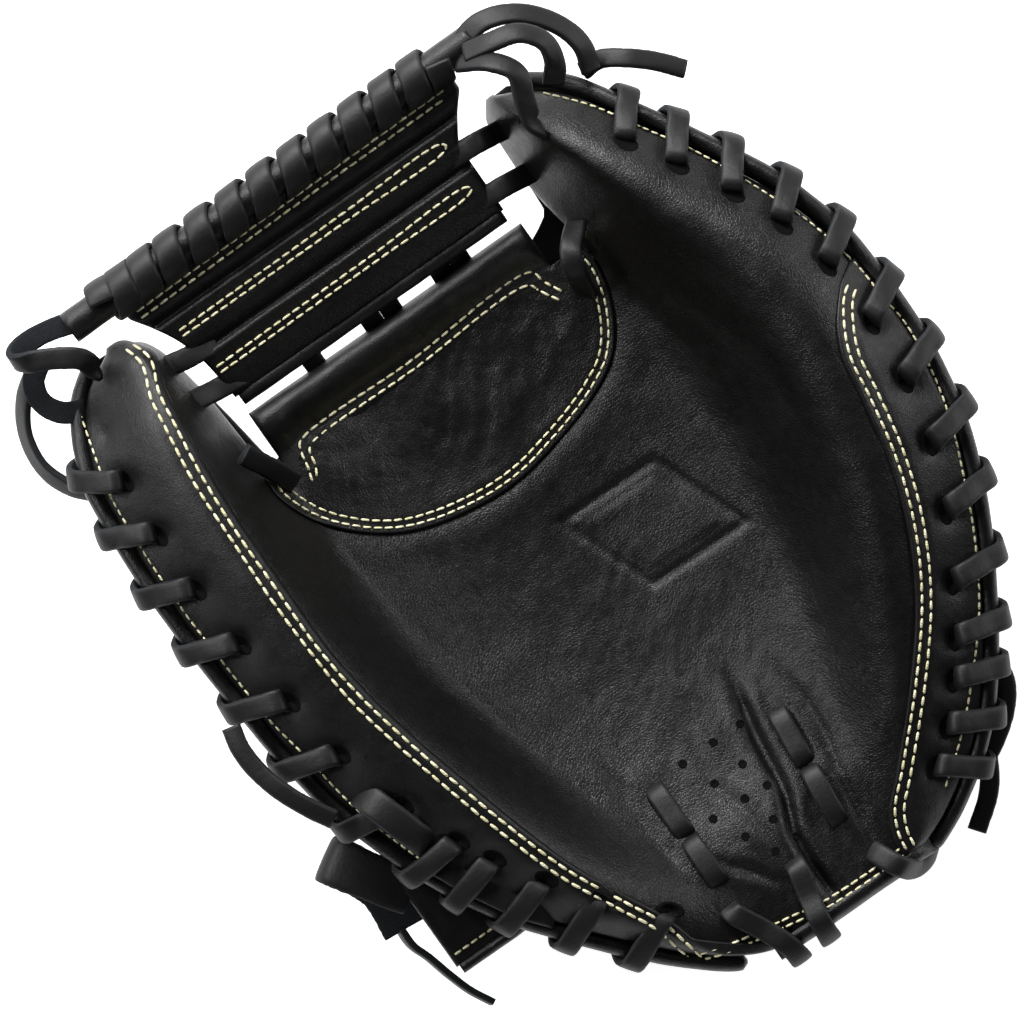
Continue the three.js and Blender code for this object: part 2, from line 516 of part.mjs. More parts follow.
part('lip_knot_thumb', strip([onPalm(-50.5, 44, 4), onPalm(-54, 52, 7), onPalm(-58, 60, 9)],
  LACE_W, LACE_T, up, 8), laceBlack);

// ---------- free lace ends ----------
const TAIL_W = 6;
const tail = (points, out) => strip(points, TAIL_W, LACE_T, out, points.length * 2);
const thumbTailUpper = [point(-99, -47, 82), point(-103, -40, 83), point(-107, -31, 83),
  point(-109.5, -22, 82), point(-110, -13, 81.5), point(-108.5, -6, 81)];
const thumbTailLower = [point(-103, -86.5, 42), point(-103, -93, 40), point(-101, -99, 38),
  point(-99, -107, 35), point(-96.5, -115, 32), point(-93, -122, 30)];
part('lace_tail_thumb_upper', tail(thumbTailUpper, () => point(-0.3, 0, 1)), laceBlack);
part('lace_tail_thumb_lower', tail(thumbTailLower, () => point(-1, 0, 0.25)), laceBlack);
part('lace_end_finger', tail([point(100, 98, 67), point(107, 93, 68), point(114, 86, 66),
  point(120, 79, 64)], () => point(0.2, 0.2, 1)), laceBlack);
part('lace_end_heel', tail([point(72, -155, 44), point(66, -159, 42), point(59, -164, 40)],
  () => point(0, 0, 1)), laceBlack);

export default mitt;
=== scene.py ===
"""Visual model of a catcher's mitt around its CAD frame. Shapes are worked out in millimetres in the part's
own drawing frame (+X to the little finger, +Y to the web, +Z out of the palm) and placed in metres."""
import math
import bpy
import mathutils
import numpy as np
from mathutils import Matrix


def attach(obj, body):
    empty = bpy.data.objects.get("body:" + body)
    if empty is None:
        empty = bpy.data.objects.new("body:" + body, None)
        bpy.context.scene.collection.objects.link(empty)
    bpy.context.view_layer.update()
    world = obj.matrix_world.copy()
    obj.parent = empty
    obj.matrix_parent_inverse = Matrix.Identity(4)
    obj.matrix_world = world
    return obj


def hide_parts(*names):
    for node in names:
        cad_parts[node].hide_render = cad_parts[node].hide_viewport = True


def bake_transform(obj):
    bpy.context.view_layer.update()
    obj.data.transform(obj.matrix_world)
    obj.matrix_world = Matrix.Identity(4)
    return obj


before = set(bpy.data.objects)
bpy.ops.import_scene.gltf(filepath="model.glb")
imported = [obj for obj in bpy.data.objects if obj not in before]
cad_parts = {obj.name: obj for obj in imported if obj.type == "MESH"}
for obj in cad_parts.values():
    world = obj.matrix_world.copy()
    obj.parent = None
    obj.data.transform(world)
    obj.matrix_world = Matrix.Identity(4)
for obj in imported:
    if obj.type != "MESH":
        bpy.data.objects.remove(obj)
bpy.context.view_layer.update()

CENTRE = np.array([12.35, -17.75, 0.0])  # the drawing's point that is x = y = 0 in the row frame
MM = 0.001


def row(points):
    """Drawing millimetres to row-frame metres."""
    return (np.asarray(points, float) - CENTRE) * MM


# ---------- camera ----------
VIEW_TURN = math.radians(35)
VIEW_WIDTH = 312.3
VIEW_PLANE_Z = 70
CAMERA_RISE = 3000
SENSOR = 36
camera_data = bpy.data.cameras.new("camera")
camera_data.sensor_width = SENSOR
camera_data.lens = SENSOR * CAMERA_RISE / VIEW_WIDTH
camera_data.clip_end = 20
camera = bpy.data.objects.new("camera", camera_data)
bpy.context.scene.collection.objects.link(camera)
camera.location = row([0, 0, VIEW_PLANE_Z + CAMERA_RISE])
camera.rotation_euler = (0, 0, -VIEW_TURN)
bpy.context.scene.camera = camera


# ---------- shader building ----------
class Nodes:
    """A material with its node tree, and short ways to add to it."""

    def __init__(self, name):
        self.material = bpy.data.materials.new(name)
        self.material.use_nodes = True
        self.tree = self.material.node_tree
        self.shader = self.tree.nodes["Principled BSDF"]
        self.place = self.add("ShaderNodeTexCoord", "Object")

    def give(self, node, inputs):
        """Links the inputs that come from other nodes and sets the rest."""
        for key, value in inputs.items():
            if isinstance(value, bpy.types.NodeSocket):
                self.tree.links.new(value, node.inputs[key])
            else:
                node.inputs[key].default_value = value

    def add(self, kind, output, inputs=None, **settings):
        """Adds a node and returns one of its outputs."""
        node = self.tree.nodes.new(kind)
        for key, value in settings.items():
            setattr(node, key, value)
        self.give(node, inputs or {})
        return node.outputs[output]

    def noise(self, size_mm, detail=3.0, roughness=0.55, distortion=0.0):
        return self.add("ShaderNodeTexNoise", "Fac", {"Vector": self.place, "Scale": 1 / (size_mm * MM),
            "Detail": detail, "Roughness": roughness, "Distortion": distortion})

    def cells(self, size_mm, vector=None):
        return self.add("ShaderNodeTexVoronoi", "Distance", {"Vector": vector or self.place,
            "Scale": 1 / (size_mm * MM)}, feature="DISTANCE_TO_EDGE")

    def ramp(self, source, low, high, low_to=0.0, high_to=1.0):
        return self.add("ShaderNodeMapRange", "Result", {"Value": source, "From Min": low,
            "From Max": high, "To Min": low_to, "To Max": high_to})

    def blend_colours(self, share, first, second):
        first, second = ((*c, 1) if isinstance(c, tuple) else c for c in (first, second))
        return self.add("ShaderNodeMix", 2, {"Factor": share, 6: first, 7: second}, data_type="RGBA")

    def attribute(self, name):
        return self.add("ShaderNodeAttribute", "Fac", attribute_name=name)

    def bump(self, height, depth_mm, strength=1.0, under=None):
        inputs = {"Strength": strength, "Distance": depth_mm * MM, "Height": height}
        if under:
            inputs["Normal"] = under
        return self.add("ShaderNodeBump", "Normal", inputs)

    def finish(self, colour, roughness, normal, specular=0.5):
        self.give(self.shader, {"Base Color": colour, "Roughness": roughness, "Normal": normal,
            "Specular IOR Level": specular})
        return self.material


WOBBLE_MM = 3  # how far apart the grain's bends are


def leather(name, dark, light, rough, grain_mm, grain_depth, crease_depth, specular=0.5):
    """Dyed leather: pebble grain in cells, pores, fine creases, and patches of wear."""
    n = Nodes(name)
    patches = n.noise(24, 4)
    scuffs = n.noise(5, 6, 0.7)
    worn = n.ramp(n.add("ShaderNodeNewGeometry", "Pointiness"), 0.51, 0.6)
    tone = n.blend_colours(n.ramp(patches, 0.35, 0.65), dark, light)
    tone = n.blend_colours(worn, tone, tuple(2.2 * c for c in light))
    wobble = n.add("ShaderNodeTexNoise", "Color", {"Vector": n.place, "Scale": 1 / (WOBBLE_MM * MM)})
    push = n.add("ShaderNodeVectorMath", 0, {0: wobble, "Scale": grain_mm * MM}, operation="SCALE")
    warped = n.add("ShaderNodeVectorMath", 0, {0: n.place, 1: push}, operation="ADD")
    grain = n.ramp(n.cells(grain_mm, warped), 0.0, 0.22)
    stretched = n.add("ShaderNodeMapping", "Vector", {"Vector": n.place, "Scale": (1, 0.45, 1),
        "Rotation": (0, 0, 0.9)})
    folds = n.ramp(n.cells(7.5, stretched), 0.0, 0.09)
    roughness = n.ramp(scuffs, 0.3, 0.75, rough - 0.06, rough + 0.09)
    normal = n.bump(n.noise(9, 3), 0.5, 0.6)
    normal = n.bump(folds, crease_depth, 0.5, normal)
    normal = n.bump(grain, grain_depth, 0.8, normal)
    normal = n.bump(n.noise(0.35, 2), 0.03, 0.5, normal)
    return n.finish(tone, roughness, normal, specular)


def rawhide(name):
    """Lace leather: a smooth dull face, and a fibrous flesh side where the attribute flesh is 1."""
    n = Nodes(name)
    flesh = n.attribute("flesh")
    fibre = n.noise(0.5, 5, 0.75)
    face = n.blend_colours(n.noise(8, 3), (0.0030, 0.0030, 0.0036), (0.0065, 0.0065, 0.0075))
    suede = n.blend_colours(n.ramp(fibre, 0.35, 0.7), (0.004, 0.005, 0.0065), (0.018, 0.022, 0.027))
    colour = n.blend_colours(flesh, face, suede)
    roughness = n.ramp(flesh, 0, 1, 0.5, 0.95)
    pores = n.bump(n.cells(0.9), 0.05, 0.5)
    lines = n.bump(n.noise(1.6, 4, 0.6), 0.22, 0.5, pores)
    fuzz = n.add("ShaderNodeMath", 0, {0: fibre, 1: flesh}, operation="MULTIPLY")
    normal = n.bump(fuzz, 0.35, 0.9, lines)
    return n.finish(colour, roughness, normal, 0.36)


def cream_thread():
    """Waxed thread: plied fibres, each stitch a little different through the attribute stitch."""
    n = Nodes("cream_thread")
    each = n.attribute("stitch")
    colour = n.blend_colours(each, (0.74, 0.70, 0.42), (0.92, 0.88, 0.62))
    grime = n.ramp(n.noise(0.6, 4), 0.5, 0.8, 0, 0.3)
    colour = n.blend_colours(grime, colour, (0.33, 0.29, 0.16))
    twist = n.add("ShaderNodeTexWave", "Fac", {"Vector": n.place, "Scale": 500, "Distortion": 3},
        wave_type="BANDS", bands_direction="DIAGONAL")
    normal = n.bump(twist, 0.12, 0.7)
    return n.finish(colour, n.ramp(n.noise(0.4, 2), 0.3, 0.7, 0.5, 0.7), normal, 0.4)


def wool_felt():
    n = Nodes("wool_felt")
    fibre = n.noise(0.8, 8, 0.75, distortion=1.5)
    colour = n.blend_colours(n.ramp(fibre, 0.3, 0.7), (0.17, 0.155, 0.13), (0.33, 0.31, 0.28))
    normal = n.bump(fibre, 0.4, 0.8, n.bump(n.noise(4, 4), 0.6, 0.6))
    n.give(n.shader, {"Sheen Weight": 0.3})
    return n.finish(colour, n.ramp(fibre, 0.3, 0.7, 0.88, 0.98), normal, 0.25)


# Painted shade: a near-black finish standing in for the dark insides of holes; depth is noise that mottles
# this painted shade and its bump.
def painted_hole_shade():
    n = Nodes("painted_hole_shade")
    depth = n.noise(0.4, 3)
    colour = n.blend_colours(depth, (0.0012, 0.0012, 0.0014), (0.004, 0.004, 0.004))
    return n.finish(colour, n.ramp(depth, 0.3, 0.7, 0.85, 1.0), n.bump(depth, 0.1, 0.6), 0.1)


PALM = leather("palm_leather_black", (0.0024, 0.0023, 0.0023), (0.0044, 0.0041, 0.0040), 0.39, 0.95, 0.06,
    0.05, 0.42)
PANEL = leather("panel_leather_black", (0.0026, 0.0026, 0.0028), (0.0044, 0.0043, 0.0044), 0.42, 0.8,
    0.045, 0.03, 0.42)
EDGE = leather("edge_leather_black", (0.0022, 0.0022, 0.0024), (0.0040, 0.0039, 0.0040), 0.38, 0.8, 0.05,
    0.06, 0.45)
LINING = leather("lining_leather", (0.030, 0.026, 0.022), (0.055, 0.048, 0.040), 0.72, 1.1, 0.06, 0.3,
    0.3)
LACE = rawhide("rawhide_lace")
THREAD = cream_thread()
FELT = wool_felt()
# painted shade for the holes
HOLE_SHADE = painted_hole_shade()
SLOTS = {PALM: "palm_leather", PANEL: "panel_leather", EDGE: "edge_leather", LINING: "lining",
         LACE: "rawhide_lace", FELT: "felt"}


# ---------- number tools ----------
UP, DOWN = [0, 0, 1], [0, 0, -1]


def mix(a, b, t):
    return a + (b - a) * t


def tangents(xs, ys):
    """Slopes at the knots of a smooth line that never overshoots them."""
    slope = np.diff(ys, axis=0) / np.diff(xs, axis=0)
    a, b = slope[:-1], slope[1:]
    inner = np.where(a * b > 0, 2 * a * b / np.where(a + b == 0, 1, a + b), 0)
    return np.concatenate([slope[:1], inner, slope[-1:]])


def between_knots(x, xs, ys, tangent, pick):
    """The smooth line's value at x. pick(table, shift) reads a table at the knot before x."""
    width = pick(xs, 1) - pick(xs, 0)
    t = (x - pick(xs, 0)) / width
    s = 1 - t
    return (pick(ys, 0) * s * s * (1 + 2 * t) + pick(ys, 1) * t * t * (1 + 2 * s)
        + width * (pick(tangent, 0) * t * s * s - pick(tangent, 1) * s * t * t))


def curve(pairs):
    """A smooth function through (input, output) pairs that never overshoots them."""
    xs, ys = np.array(pairs, float).T
    tangent = tangents(xs, ys)

    def value(x):
        x = np.clip(np.asarray(x, float), xs[0], xs[-1])
        i = np.clip(np.searchsorted(xs, x) - 1, 0, len(xs) - 2)
        return between_knots(x, xs, ys, tangent, lambda table, shift: table[i + shift])
    return value


def curve_across(knots, x):
    """The same through knots whose places and values are arrays shaped like x."""
    xs, ys = (np.array([np.broadcast_to(knot[k], x.shape) for knot in knots]) for k in (0, 1))
    x = np.clip(x, xs[0], xs[-1])
    i = (x > xs[1:-1]).sum(0)[None]
    return between_knots(x, xs, ys, tangents(xs, ys), lambda table, shift: np.take_along_axis(table,
        i + shift, 0)[0])


def noise(x, y, cell, seed=1, cell_y=None, turn=0.0):
    """Smooth noise from about -1 to 1, its features cell by cell_y millimetres, turned by turn."""
    c, s = math.cos(turn), math.sin(turn)
    gx, gy = (x * c + y * s) / cell, (y * c - x * s) / (cell_y or cell)
    angle = np.random.RandomState(seed).rand(128, 128) * 2 * math.pi
    ix, iy = np.floor(gx).astype(int), np.floor(gy).astype(int)
    fx, fy = gx - ix, gy - iy
    ease_x, ease_y = fx ** 3 * (fx * (fx * 6 - 15) + 10), fy ** 3 * (fy * (fy * 6 - 15) + 10)

    def corner(dx, dy):
        a = angle[(ix + dx) % 128, (iy + dy) % 128]
        return np.cos(a) * (fx - dx) + np.sin(a) * (fy - dy)
    return 1.4 * mix(mix(corner(0, 0), corner(1, 0), ease_x), mix(corner(0, 1), corner(1, 1), ease_x),
        ease_y)


def spline(points, t, loop=False):
    """Centripetal curve through points at parameters t from 0 to 1."""
    p = np.array(points, float)
    count = len(p)
    if loop:
        at = (np.asarray(t) % 1) * count
        i = np.floor(at).astype(int)
        p0, p1, p2, p3 = (p[(i + k) % count] for k in (-1, 0, 1, 2))
    else:
        p = np.vstack([2 * p[0] - p[1], p, 2 * p[-1] - p[-2]])
        at = np.asarray(t) * (count - 1)
        i = np.minimum(np.floor(at).astype(int), count - 2)
        p0, p1, p2, p3 = p[i], p[i + 1], p[i + 2], p[i + 3]
    f = (at - i)[:, None]
    d0, d1, d2 = (np.maximum(np.linalg.norm(b - a, axis=1), 1e-6)[:, None] ** 0.5 for a,
        b in ((p0, p1), (p1, p2), (p2, p3)))
    m1 = ((p1 - p0) / d0 - (p2 - p0) / (d0 + d1) + (p2 - p1) / d1) * d1
    m2 = ((p2 - p1) / d1 - (p3 - p1) / (d1 + d2) + (p3 - p2) / d2) * d1
    return (p1 + m1 * f + (3 * (p2 - p1) - 2 * m1 - m2) * f ** 2 + (2 * (p1 - p2) + m1 + m2) * f ** 3)


def xyz(x, y, z):
    """Points from coordinates that may be arrays or single numbers."""
    return np.stack(np.broadcast_arrays(x, y, z), -1)


def slope_of(edge_x, y):
    return (edge_x(y + 1) - edge_x(y - 1)) / 2


def run_of(points):
    """How far along a line of points each of them lies."""
    steps = np.linalg.norm(np.diff(points, axis=0), axis=1)
    return np.concatenate([[0], np.cumsum(steps)])


def unit(v):
    return v / np.maximum(np.linalg.norm(v, axis=-1, keepdims=True), 1e-9)


def along_line(points, step):
    """Points spaced evenly, about step apart, along a smooth line through points."""
    dense = spline(points, np.linspace(0, 1, 60 * len(points)))
    run = run_of(dense)
    count = max(2, round(run[-1] / step) + 1)
    want = np.linspace(0, run[-1], count)
    return np.stack([np.interp(want, run, dense[:, k]) for k in range(dense.shape[1])], axis=1)


def distance_to(line, x, y):
    """Distance in plan from each (x, y) to a polyline."""
    best = np.full(np.shape(x), 1e9)
    for (ax, ay), (bx, by) in zip(line[:-1], line[1:]):
        ux, uy = bx - ax, by - ay
        t = np.clip(((x - ax) * ux + (y - ay) * uy) / max(ux * ux + uy * uy, 1e-9), 0, 1)
        best = np.minimum(best, np.hypot(x - ax - t * ux, y - ay - t * uy))
    return best


def groove(line, x, y, width, depth, lips=0.0):
    d = distance_to(line, x, y)
    return (lips * np.exp(-((d - 2.4 * width) / (1.2 * width)) ** 2) - depth * np.exp(-(d / width) ** 2))


# ---------- mesh tools ----------
FINGER, THUMB, BOTH = "finger_half", "thumb_half", "both"
FOLD_FROM = np.array([6.0, -160, 58])
FOLD_TO = np.array([-62.0, 105, 74])


def put(name, vertices, faces, material, body, replaces=(), attributes=None, slot=None):
    """Makes the mesh, in drawing millimetres, and hangs it on its body."""
    mesh = bpy.data.meshes.new(name)
    mesh.from_pydata(row(vertices).tolist(), [], [list(f) for f in faces])
    mesh.polygons.foreach_set("use_smooth", np.ones(len(mesh.polygons), bool))
    for key, values in (attributes or {}).items():
        layer = mesh.attributes.new(key, "FLOAT", "POINT")
        layer.data.foreach_set("value", np.asarray(values, np.float32))
    mesh.materials.append(material)
    obj = bpy.data.objects.new(name, mesh)
    bpy.context.scene.collection.objects.link(obj)
    if body == BOTH:
        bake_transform(obj)
    else:
        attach(obj, body)
    if replaces:
        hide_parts(*replaces)
    # The holes' near-black discs are painted shade and, like the thread, take no slot.
    slot = slot or SLOTS.get(material)  # thread and holes have none
    return obj


def shell(top, bottom, keep=None):
    """A closed skin between two grids of points, without the cells where keep is False."""
    m, n = top.shape[:2]
    index = np.arange(m * n).reshape(m, n)
    quads = np.stack([index[:-1, :-1], index[:-1, 1:], index[1:, 1:], index[1:, :-1]], -1)
    quads = quads.reshape(-1, 4) if keep is None else quads[keep]
    edges = np.concatenate([quads[:, [k, (k + 1) % 4]] for k in range(4)])
    key = edges[:, 0] * m * n + edges[:, 1]
    free = edges[~np.isin(key, edges[:, 1] * m * n + edges[:, 0])]
    lower = m * n
    walls = np.stack([free[:, 1], free[:, 0], free[:, 0] + lower, free[:, 1] + lower], -1)
    faces = np.concatenate([quads, quads[:, ::-1] + lower, walls])
    vertices = np.concatenate([top.reshape(-1, 3), bottom.reshape(-1, 3)])
    used, faces = np.unique(faces, return_inverse=True)
    return vertices[used], faces.reshape(-1, 4)


def rounded(distance, radius):
    """How far a rounded rim lies below the face, at a distance from the edge."""
    inside = np.clip(radius - distance, 0, radius)
    return radius - np.sqrt(np.maximum(radius ** 2 - inside ** 2, 0))


def middles(grid):
    return (grid[1:, 1:] + grid[:-1, :-1]) / 2


RIM = np.array([0, 0.3, 0.8, 1.6])


def lanes(length, step):
    """Places from 0 to 1 across a length, closer together at its two ends."""
    edge = RIM[-1] + 0.9
    inner = np.linspace(edge, length - edge, max(2, round((length - 2 * edge) / step) + 1))
    return np.concatenate([RIM, inner, length - RIM[::-1]]) / length


def layer(ys, left, right, top, bottom, step=1.6, width=None, round_top=1.2, round_bottom=0.8, keep=None):
    """A skin from left(y) to right(y) over rows ys, its rims rounded."""
    span = width or float(np.max(right(ys) - left(ys)))
    u = lanes(span, step)
    x = left(ys)[:, None] * (1 - u) + right(ys)[:, None] * u
    y = np.broadcast_to(ys[:, None], x.shape)
    rim = np.minimum(np.minimum(x - x[:, :1], x[:, -1:] - x), np.minimum(y - ys[0], ys[-1] - y))
    z_top = top(x, y) - rounded(rim, round_top)
    z_bottom = np.minimum(bottom(x, y) + rounded(rim, round_bottom), z_top - 0.4)
    cells = keep(middles(x), middles(y)) if keep else None
    return shell(xyz(x, y, z_top), xyz(x, y, z_bottom), cells)


def skin(name, material, body, node, *shape):
    """A layer in place of the CAD's part."""
    return put(name, *layer(*shape), material, body, [node])


def rows(low, high, step=1.6):
    return low + (high - low) * lanes(high - low, step)


def tube_faces(rings, sides):
    """The faces round a tube of rings of vertices, both its ends shut."""
    ring = np.arange(rings * sides).reshape(rings, sides)
    around = np.roll(ring, -1, axis=1)
    faces = np.stack([ring[:-1], around[:-1], around[1:], ring[1:]], -1).reshape(-1, 4).tolist()
    return faces + [ring[0][::-1].tolist(), ring[-1].tolist()]


def tube(rings):
    return rings.reshape(-1, 3), tube_faces(*rings.shape[:2])


def sweep(centres, sides, faces_out, section):
    """A tube whose section, (across, through) pairs for each ring, follows centres."""
    return tube(centres[:, None] + sides[:, None] * section[..., :1] + faces_out[:, None]
        * section[..., 1:])


def frames(centres, out):
    """Directions across and out of a band along centres, out being roughly where it faces."""
    along = unit(np.gradient(centres, axis=0))
    side = unit(np.cross(along, out))
    return side, unit(np.cross(side, along))


LACE_SECTION = np.array([[-0.5, -0.28], [-0.47, -0.44], [-0.38, -0.5], [0, -0.5], [0.38, -0.5],
    [0.47, -0.44], [0.5, -0.28], [0.5, 0.22], [0.46, 0.4], [0.36, 0.5], [0.18, 0.53], [0, 0.55],
    [-0.18, 0.53], [-0.36, 0.5], [-0.46, 0.4], [-0.5, 0.22]])
LACE_FLESH = np.array([1, 1, 1, 1, 1, 1, 1, 0.9, 0.1, 0, 0, 0, 0, 0, 0.1, 0.9])


def ribbon(centres, out, width, thickness, seed=3, wander=0.04):
    """Lace along centres: its width and thickness vary a little, as cut leather's do."""
    side, face = frames(centres, out)
    run = run_of(centres)
    wide = 1 + wander * noise(run, 0, 9, seed)
    thick = 1 + 2 * wander * noise(run, 40, 14, seed)
    cup = 0.05 * noise(run, 90, 20, seed)
    section = np.empty((len(centres), len(LACE_SECTION), 2))
    section[..., 0] = LACE_SECTION[:, 0] * width * wide[:, None]
    section[..., 1] = (LACE_SECTION[:, 1] * thickness * thick[:, None]
        + (LACE_SECTION[:, 0] ** 2 * 4 - 0.3) * width * cup[:, None])
    nick = 1 + 0.03 * noise(run[:, None] * 3, LACE_SECTION[:, 0] * 60 + 7, 3, seed + 1)
    section[..., 0] *= nick
    vertices, faces = sweep(centres, side, face, section)
    return vertices, faces, np.tile(LACE_FLESH, len(centres))


def cord(points, step, sides, radius_at, squeeze=1.0):
    """A round strand along points, lying flat. radius_at gives its radius from the run along it."""
    line = along_line(points, step)
    turn = np.linspace(0, 2 * math.pi, sides, endpoint=False)
    circle = np.stack([np.cos(turn), np.sin(turn)], -1)
    side, face = frames(line, UP)
    radius = radius_at(line, np.arange(len(line)) * step)
    return sweep(line, side, face, circle * radius[:, None, None] * np.array([1, squeeze]))


def join(pieces):
    """Several (vertices, faces, value per vertex) as one."""
    vertices, faces, values, base = [], [], [], 0
    for v, f, value in pieces:
        vertices.append(v)
        faces += [[i + base for i in face] for face in f]
        values.append(value)
        base += len(v)
    return np.concatenate(vertices), faces, np.concatenate(values)


# ---------- outlines (x of y) and heights (z of y), as the CAD has them ----------
LEATHER = 3
LAYER_GAP = 2.2
WELT_R = 2.8
LACE_W = 6.8
LACE_T = 2.2
SHELL_T = 4
HAND_ROOM_Z = 25.5
RAIL_R = 5.1
HEEL_Y = -158
THUMB_TOP_Y = 110
FINGER_TOP_Y = 107
LIP_Y = (51.4, 69.4)
STRAP_Y = (-104, -68)
thumb_edge_x = curve([[-160, -12], [-156, -21], [-148, -32], [-132, -48], [-118, -60], [-98, -75],
    [-72, -88], [-40, -98], [-10, -102], [40, -104.5], [75, -102.5], [90, -97.5], [103, -89], [110, -79]])
thumb_seam_x = curve([[-160, -8], [-150, -25], [-130, -37], [-100, -51.5], [-60, -63.5], [-20, -72.5],
    [10, -74.5], [40, -74.5], [80, -71], [100, -67], [110, -72]])
thumb_inner_x = curve([[31, -51], [50, -55], [80, -57], [98, -60], [105, -63], [110, -70]])
thumb_wall_x = curve([[-160, 0], [-110, -22], [-60, -38], [0, -48], [50, -50], [110, -52]])
floor_x = curve([[-160, 14], [-60, 8], [0, 8], [60, 6], [110, 4]])
finger_wall_x = curve([[-160, 28], [-110, 42], [-60, 56], [0, 64], [50, 62], [110, 56]])
finger_crest_x = curve([[-160, 38], [-120, 63], [-80, 85], [-45, 98], [0, 105], [20, 103], [50, 90],
    [75, 80], [95, 71], [107, 67]])
finger_edge_x = curve([[-160, 44], [-154, 58], [-141, 77], [-128, 89], [-106, 104], [-78, 119],
    [-48, 129], [-20, 132], [5, 131], [30, 125], [54, 113.5], [78, 99.5], [95, 89], [103, 80], [107, 73]])
finger_seam_x = curve([[-160, 38], [-150, 41], [-135, 51.5], [-115, 71], [-95, 87], [-75, 98], [-55, 105],
    [-35, 109], [-22, 111.5], [-13, 115], [-6, 120], [-1, 127]])
finger_inner_x = curve([[31, 60], [50, 64.5], [67, 62], [80, 60.5], [100, 61], [107, 65]])
thumb_edge_z = curve([[-160, 48], [-120, 60], [-60, 69], [20, 72], [80, 68], [110, 60]])
thumb_crest_z = curve([[-160, 52], [-120, 69], [-60, 82], [20, 88], [70, 85], [100, 76], [110, 68]])
floor_z = curve([[-160, 56], [-130, 55], [-100, 48], [-60, 41], [-15, 38], [25, 38], [60, 42]])
finger_crest_z = curve([[-160, 54], [-110, 69], [-60, 81], [0, 88], [60, 84], [95, 75], [107, 66]])
finger_edge_z = curve([[-160, 48], [-110, 60], [-50, 71], [20, 73], [80, 68], [107, 60]])
base_z = curve([[-160, 10], [-125, 1.5], [-112, 0], [45, 0], [60, 3], [80, 14], [110, 42]])
WALL_SHARE = 0.24
BACK_FLAT_X = (-44, 62)
BACK_DROP = 6
BACK_POWER = 1.7
THUMB_LIFT = 6.5
thumb_lift = curve([[-60, THUMB_LIFT], [-38, 0.4]])


def palm_z(x, y):
    """Height of the palm side as sewn, before the leather's own creases."""
    x, y = np.broadcast_arrays(np.asarray(x, float), np.asarray(y, float))
    floor = floor_z(y)
    return curve_across([(thumb_edge_x(y), thumb_edge_z(y)), (thumb_seam_x(y), thumb_crest_z(y)),
        (thumb_wall_x(y), mix(floor, thumb_crest_z(y), WALL_SHARE)), (floor_x(y), floor),
        (finger_wall_x(y), mix(floor, finger_crest_z(y), WALL_SHARE)),
        (finger_crest_x(y), finger_crest_z(y)), (finger_edge_x(y), finger_edge_z(y))], x)


def back_z(x, y):
    x, y = np.broadcast_arrays(np.asarray(x, float), np.asarray(y, float))
    thumb = x < floor_x(y)
    flat = np.where(thumb, *BACK_FLAT_X)
    edge = np.where(thumb, thumb_edge_x(y), finger_edge_x(y))
    rim = np.where(thumb, thumb_edge_z(y), finger_edge_z(y)) - BACK_DROP
    beyond = np.abs(edge) > np.abs(flat)
    out = np.clip((x - flat) / np.where(beyond, edge - flat, 1), 0, 1)
    base = base_z(y) + np.where(thumb, thumb_lift(y), 0)
    return np.where(beyond, mix(base, rim, out ** BACK_POWER), base)


def inset(edge_x, distance):
    """An outline moved inwards by a distance measured square to it."""
    return lambda y: edge_x(y) + distance * np.hypot(1, slope_of(edge_x, y))


# ---------- the winding edge laces ----------
LACE_TURN = [[13.5, 1], [11.8, 9.8], [6, 8.6], [0.5, 6], [-4.6, 2.2], [-4.8, -4], [-1.2, -11.5], [5, -19],
    [9.6, -23.4], [12.6, -16], [14, -7]]
THUMB_HOLES_Y = [-139, -123, -108, -92, -80, -60, -34, -11, 12, 34, 55, 75, 92]
FINGER_HOLES_Y = [-149, -140, -128, -117, -102, -82, -61, -39, -17, 6, 26, 44, 61, 76, 89]


def edge_lace(holes, edge_x, edge_z, inward, reach_at, t):
    """Centres and outward directions of a lace that winds round the rim, t counting turns."""
    y = curve([[i, h] for i, h in enumerate(holes)])(t)
    turn = spline([[a, z] for a, z in LACE_TURN], t % 1, loop=True)
    reach = curve(reach_at)(y)
    turn[:, 0] *= np.where(turn[:, 0] > 0, reach, 1)
    turn[:, 1] *= np.where(turn[:, 1] < 0, 0.4 + 0.6 * reach, 1)
    across = unit(xyz(inward, -inward * slope_of(edge_x, y), 0))

    def place(a, z):
        return across * a[:, None] + xyz(0, 0, z)
    centre = xyz(edge_x(y), y, edge_z(y))
    return centre + place(turn[:, 0], turn[:, 1]), unit(place(turn[:, 0] - 4, turn[:, 1] + 6))


LACE_EDGES = {
    "thumb": (THUMB_HOLES_Y, thumb_edge_x, thumb_edge_z, 1,
              [[-90, 1], [-40, 0.93], [30, 0.8], [80, 0.7]]),
    "finger": (FINGER_HOLES_Y, finger_edge_x, finger_edge_z, -1, [[-150, 0.8], [-60, 0.74], [90, 0.7]]),
}
lace_holes = {side: edge_lace(*edge, np.arange(len(edge[0]), dtype=float))[0]
              for side, edge in LACE_EDGES.items()}
for side, edge in LACE_EDGES.items():
    turns = len(edge[0]) - 1
    t = np.linspace(0, turns, turns * 46 + 1)
    centres, out = edge_lace(*edge, t)
    run = t * 20
    centres = centres + xyz(0, 0.7 * noise(run, 0, 14, 11), 0)
    out = unit(out + 0.09 * xyz(noise(run, 5, 17, 12), noise(run, 0, 19, 13), 0))
    vertices, faces, flesh = ribbon(centres, out, LACE_W + 0.2, LACE_T, seed=21)
    put(side + "_edge_rawhide", vertices, faces, LACE, BOTH, [side + "_edge_lace"], {"flesh": flesh})


